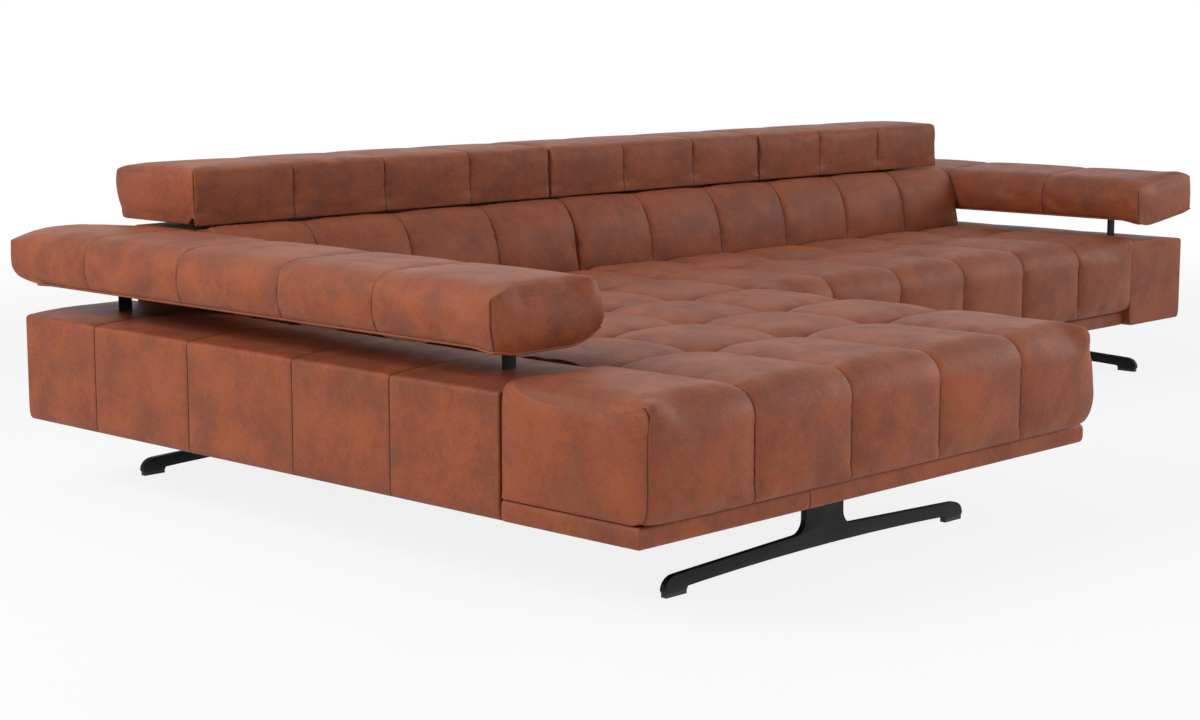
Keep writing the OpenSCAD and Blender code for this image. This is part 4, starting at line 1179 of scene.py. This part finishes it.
def hem_line(sewn):
    """The closed line round the underside of an arm pillow, a little below and outside its corners."""
    lo, hi = sewn.caps
    side, far = sewn.row(0)[::-1], sewn.row(sewn.nu)
    co = sewn.places()
    front, rear = co[lo[:, 0]], co[hi[:, 0]]
    if np.linalg.norm(side[-1] - front[0]) > 0.01:
        front = front[::-1]
    if np.linalg.norm(far[-1] - rear[-1]) > 0.01:
        rear = rear[::-1]
    loop = np.concatenate([side, front[1:], far[1:], rear[::-1][1:]])
    middle = (loop.min(axis=0) + loop.max(axis=0)) / 2
    loop[:, 0] += np.sign(loop[:, 0] - middle[0]) * 0.0012
    loop[:, 2] -= 0.0006
    return loop


edge = corner_seat.places()[corner_seat.caps[0][-1, :]]
edge = edge[(edge[:, 2] > Z_SEAT + 0.004) & (edge[:, 2] < 0.425)]
welt("seat_corner_welt", edge + [0.0004, 0.0004, 0], 0.0019)
welt("chaise_arm_hem", hem_line(near_arm), 0.0026)
welt("main_arm_hem", hem_line(far_arm), 0.0026)
lo, hi = corners("chaise_back_shell")
rim_y = np.linspace(lo[1] + 0.034, hi[1] - 0.004, 30)
welt("shell_rim_welt", [(lo[0] + 0.002, y, hi[2] - 0.0025) for y in rim_y], 0.0018)
co, cap = near_back.places(), near_back.caps[0]
edge, top_end = co[cap[-1, :]], co[cap[:, -1]]
if np.linalg.norm(edge[-1] - top_end[0]) >= np.linalg.norm(edge[0] - top_end[0]):
    edge = edge[::-1]
rim = np.concatenate([edge, top_end[1:]])
welt("back_rim_welt", rim[rim[:, 2] > 0.50], 0.0016)

# %% [markdown]
# ## Legs and posts
#
# The legs are flat castings with a black powder coat: a wide stem, a bar that thins towards its ends, and
# stepped feet on plastic glides. A casting never has a razor edge, so each CAD leg is copied, its doubles
# and flat faces are merged, and a small bevel rounds the edges.


# %% Round the edges of metal parts
def merge(made):
    bmesh.ops.remove_doubles(made, verts=made.verts, dist=1e-5)
    bmesh.ops.dissolve_limit(made, angle_limit=0.01, verts=made.verts, edges=made.edges)


def softened(name, node, width):
    mesh = frame["nodes"][node].data.copy()
    rework(mesh, merge)
    mesh.materials.clear()
    mesh.materials.append(METAL)
    piece = show(name, mesh)
    bevel = piece.modifiers.new("cast edge", "BEVEL")
    bevel.width, bevel.segments = width, 3
    bevel.limit_method, bevel.angle_limit = "ANGLE", math.radians(35)
    bevel.harden_normals = True
    mesh.shade_smooth()
    tie(piece, [node])


for label in ("chaise_front_leg", "chaise_rear_leg", "main_inner_leg", "main_end_leg"):
    softened(label + "_casting", label, 0.0016)
for label in ("chaise_arm_posts", "main_arm_posts"):
    softened(label + "_bars", label, 0.0008)

# %% [markdown]
# ## The parts behind the leather
#
# The rest of the CAD nodes keep their own meshes: rails, webbing, bolts, hinges and plates have the right
# shape already and only need their finishes.

# %% Finish the CAD nodes that show as they are
FINISHES = {"leather": LEATHER, "black_metal": METAL, "steel": ZINC, "glide_plastic": PLASTIC,
            "frame_wood": WOOD, "black_cloth": CLOTH}
slots = {s["node"]: s["material_slot"] for s in frame["record"]["subparts"]}
kept = {label: node for label, node in frame["nodes"].items() if not node.hide_render}
for label, node in kept.items():
    node.data.materials.clear()
    node.data.materials.append(FINISHES[slots[label]])
print("CAD nodes kept:", len(kept))

# %% [markdown]
# ## Stage, light and camera
#
# The sofa stands on a white floor that fades into a white ground. The strongest soft light stands high on
# the left, another one on the right, a weak one in front and a weaker one above, and the floor sends some
# light back up.

# %% Floor and world
WHITE = (1, 1, 1, 1)
FLOOR_SIZE = 14


def white_floor():
    """White as a background, whiter with the distance, and a matt floor with the object's shadow beneath."""
    f = Finish("white_floor")
    distance = f.node("ShaderNodeVectorMath", {"operation": "LENGTH"}, {0: f.place()}, out="Value")
    share = f.background() * (0.86 + f.spread(distance, 2.6, 6.0) * 0.14)
    lit = f.node("ShaderNodeBsdfDiffuse", None, {"Color": (0.86, 0.86, 0.86, 1)})
    white = f.node("ShaderNodeEmission", None, {"Color": WHITE, "Strength": 1.0})
    return f.end(f.node("ShaderNodeMixShader", None, {0: share, 1: lit, 2: white}))


def white_world():
    """White as a background, and a weak light from all sides."""
    f = Finish("studio", bpy.data.worlds)
    fill, white = (f.node("ShaderNodeBackground", None, {"Color": WHITE, "Strength": s}) for s in (0.10, 1.0))
    mixed = f.node("ShaderNodeMixShader", None, {0: f.background(), 1: fill, 2: white})
    return f.end(mixed, "ShaderNodeOutputWorld")


floor_mesh = bpy.data.meshes.new("floor")
square = [(x * FLOOR_SIZE, y * FLOOR_SIZE, 0) for x, y in ((-1, -1), (1, -1), (1, 1), (-1, 1))]
floor_mesh.from_pydata(square, [], [(0, 1, 2, 3)])
floor_mesh.materials.append(white_floor())
floor = show("floor", floor_mesh)
floor.location.z = -0.0005
bpy.context.scene.world = white_world()
print("floor and world ready")


# %% Lamps
def softbox(name, place, aim, size, power):
    lamp = bpy.data.lights.new(name, "AREA")
    lamp.shape, lamp.size, lamp.size_y, lamp.energy = "RECTANGLE", size[0], size[1], power
    box = show(name, lamp)
    way = np.array(aim, float) - np.array(place, float)
    tilt, turn = math.acos(-way[2] / np.linalg.norm(way)), math.atan2(way[1], way[0]) - math.pi / 2
    box.location = place
    box.rotation_euler = (tilt, 0, turn)


softbox("left_key", (-4.9, 0.9, 2.9), (-0.6, -0.1, 0.4), (2.6, 2.2), 160)
softbox("near_front", (-0.9, -3.8, 1.2), (-0.7, -1.0, 0.25), (2.6, 1.4), 42)
softbox("right_fill", (4.4, -2.6, 2.2), (0.6, -0.2, 0.4), (2.6, 2.2), 76)
softbox("overhead", (-0.3, 1.2, 3.6), (-0.2, -0.1, 0.3), (5.0, 3.0), 24)

# %% Camera
eye = bpy.data.cameras.new("camera")
eye.sensor_width, eye.sensor_fit, eye.lens = 36.0, "HORIZONTAL", 69.05
eye.clip_start, eye.clip_end = 0.1, 60
look_down, look_right = 8.6495, 46.2946
camera = show("camera", eye)
camera.location = (-4.6484, -3.6616, 1.1016)
camera.rotation_euler = (math.radians(90 - look_down), 0, math.radians(-look_right))
bpy.context.scene.camera = camera
bpy.context.scene.view_settings.view_transform = "Standard"
print("camera at", tuple(round(v, 3) for v in camera.location))
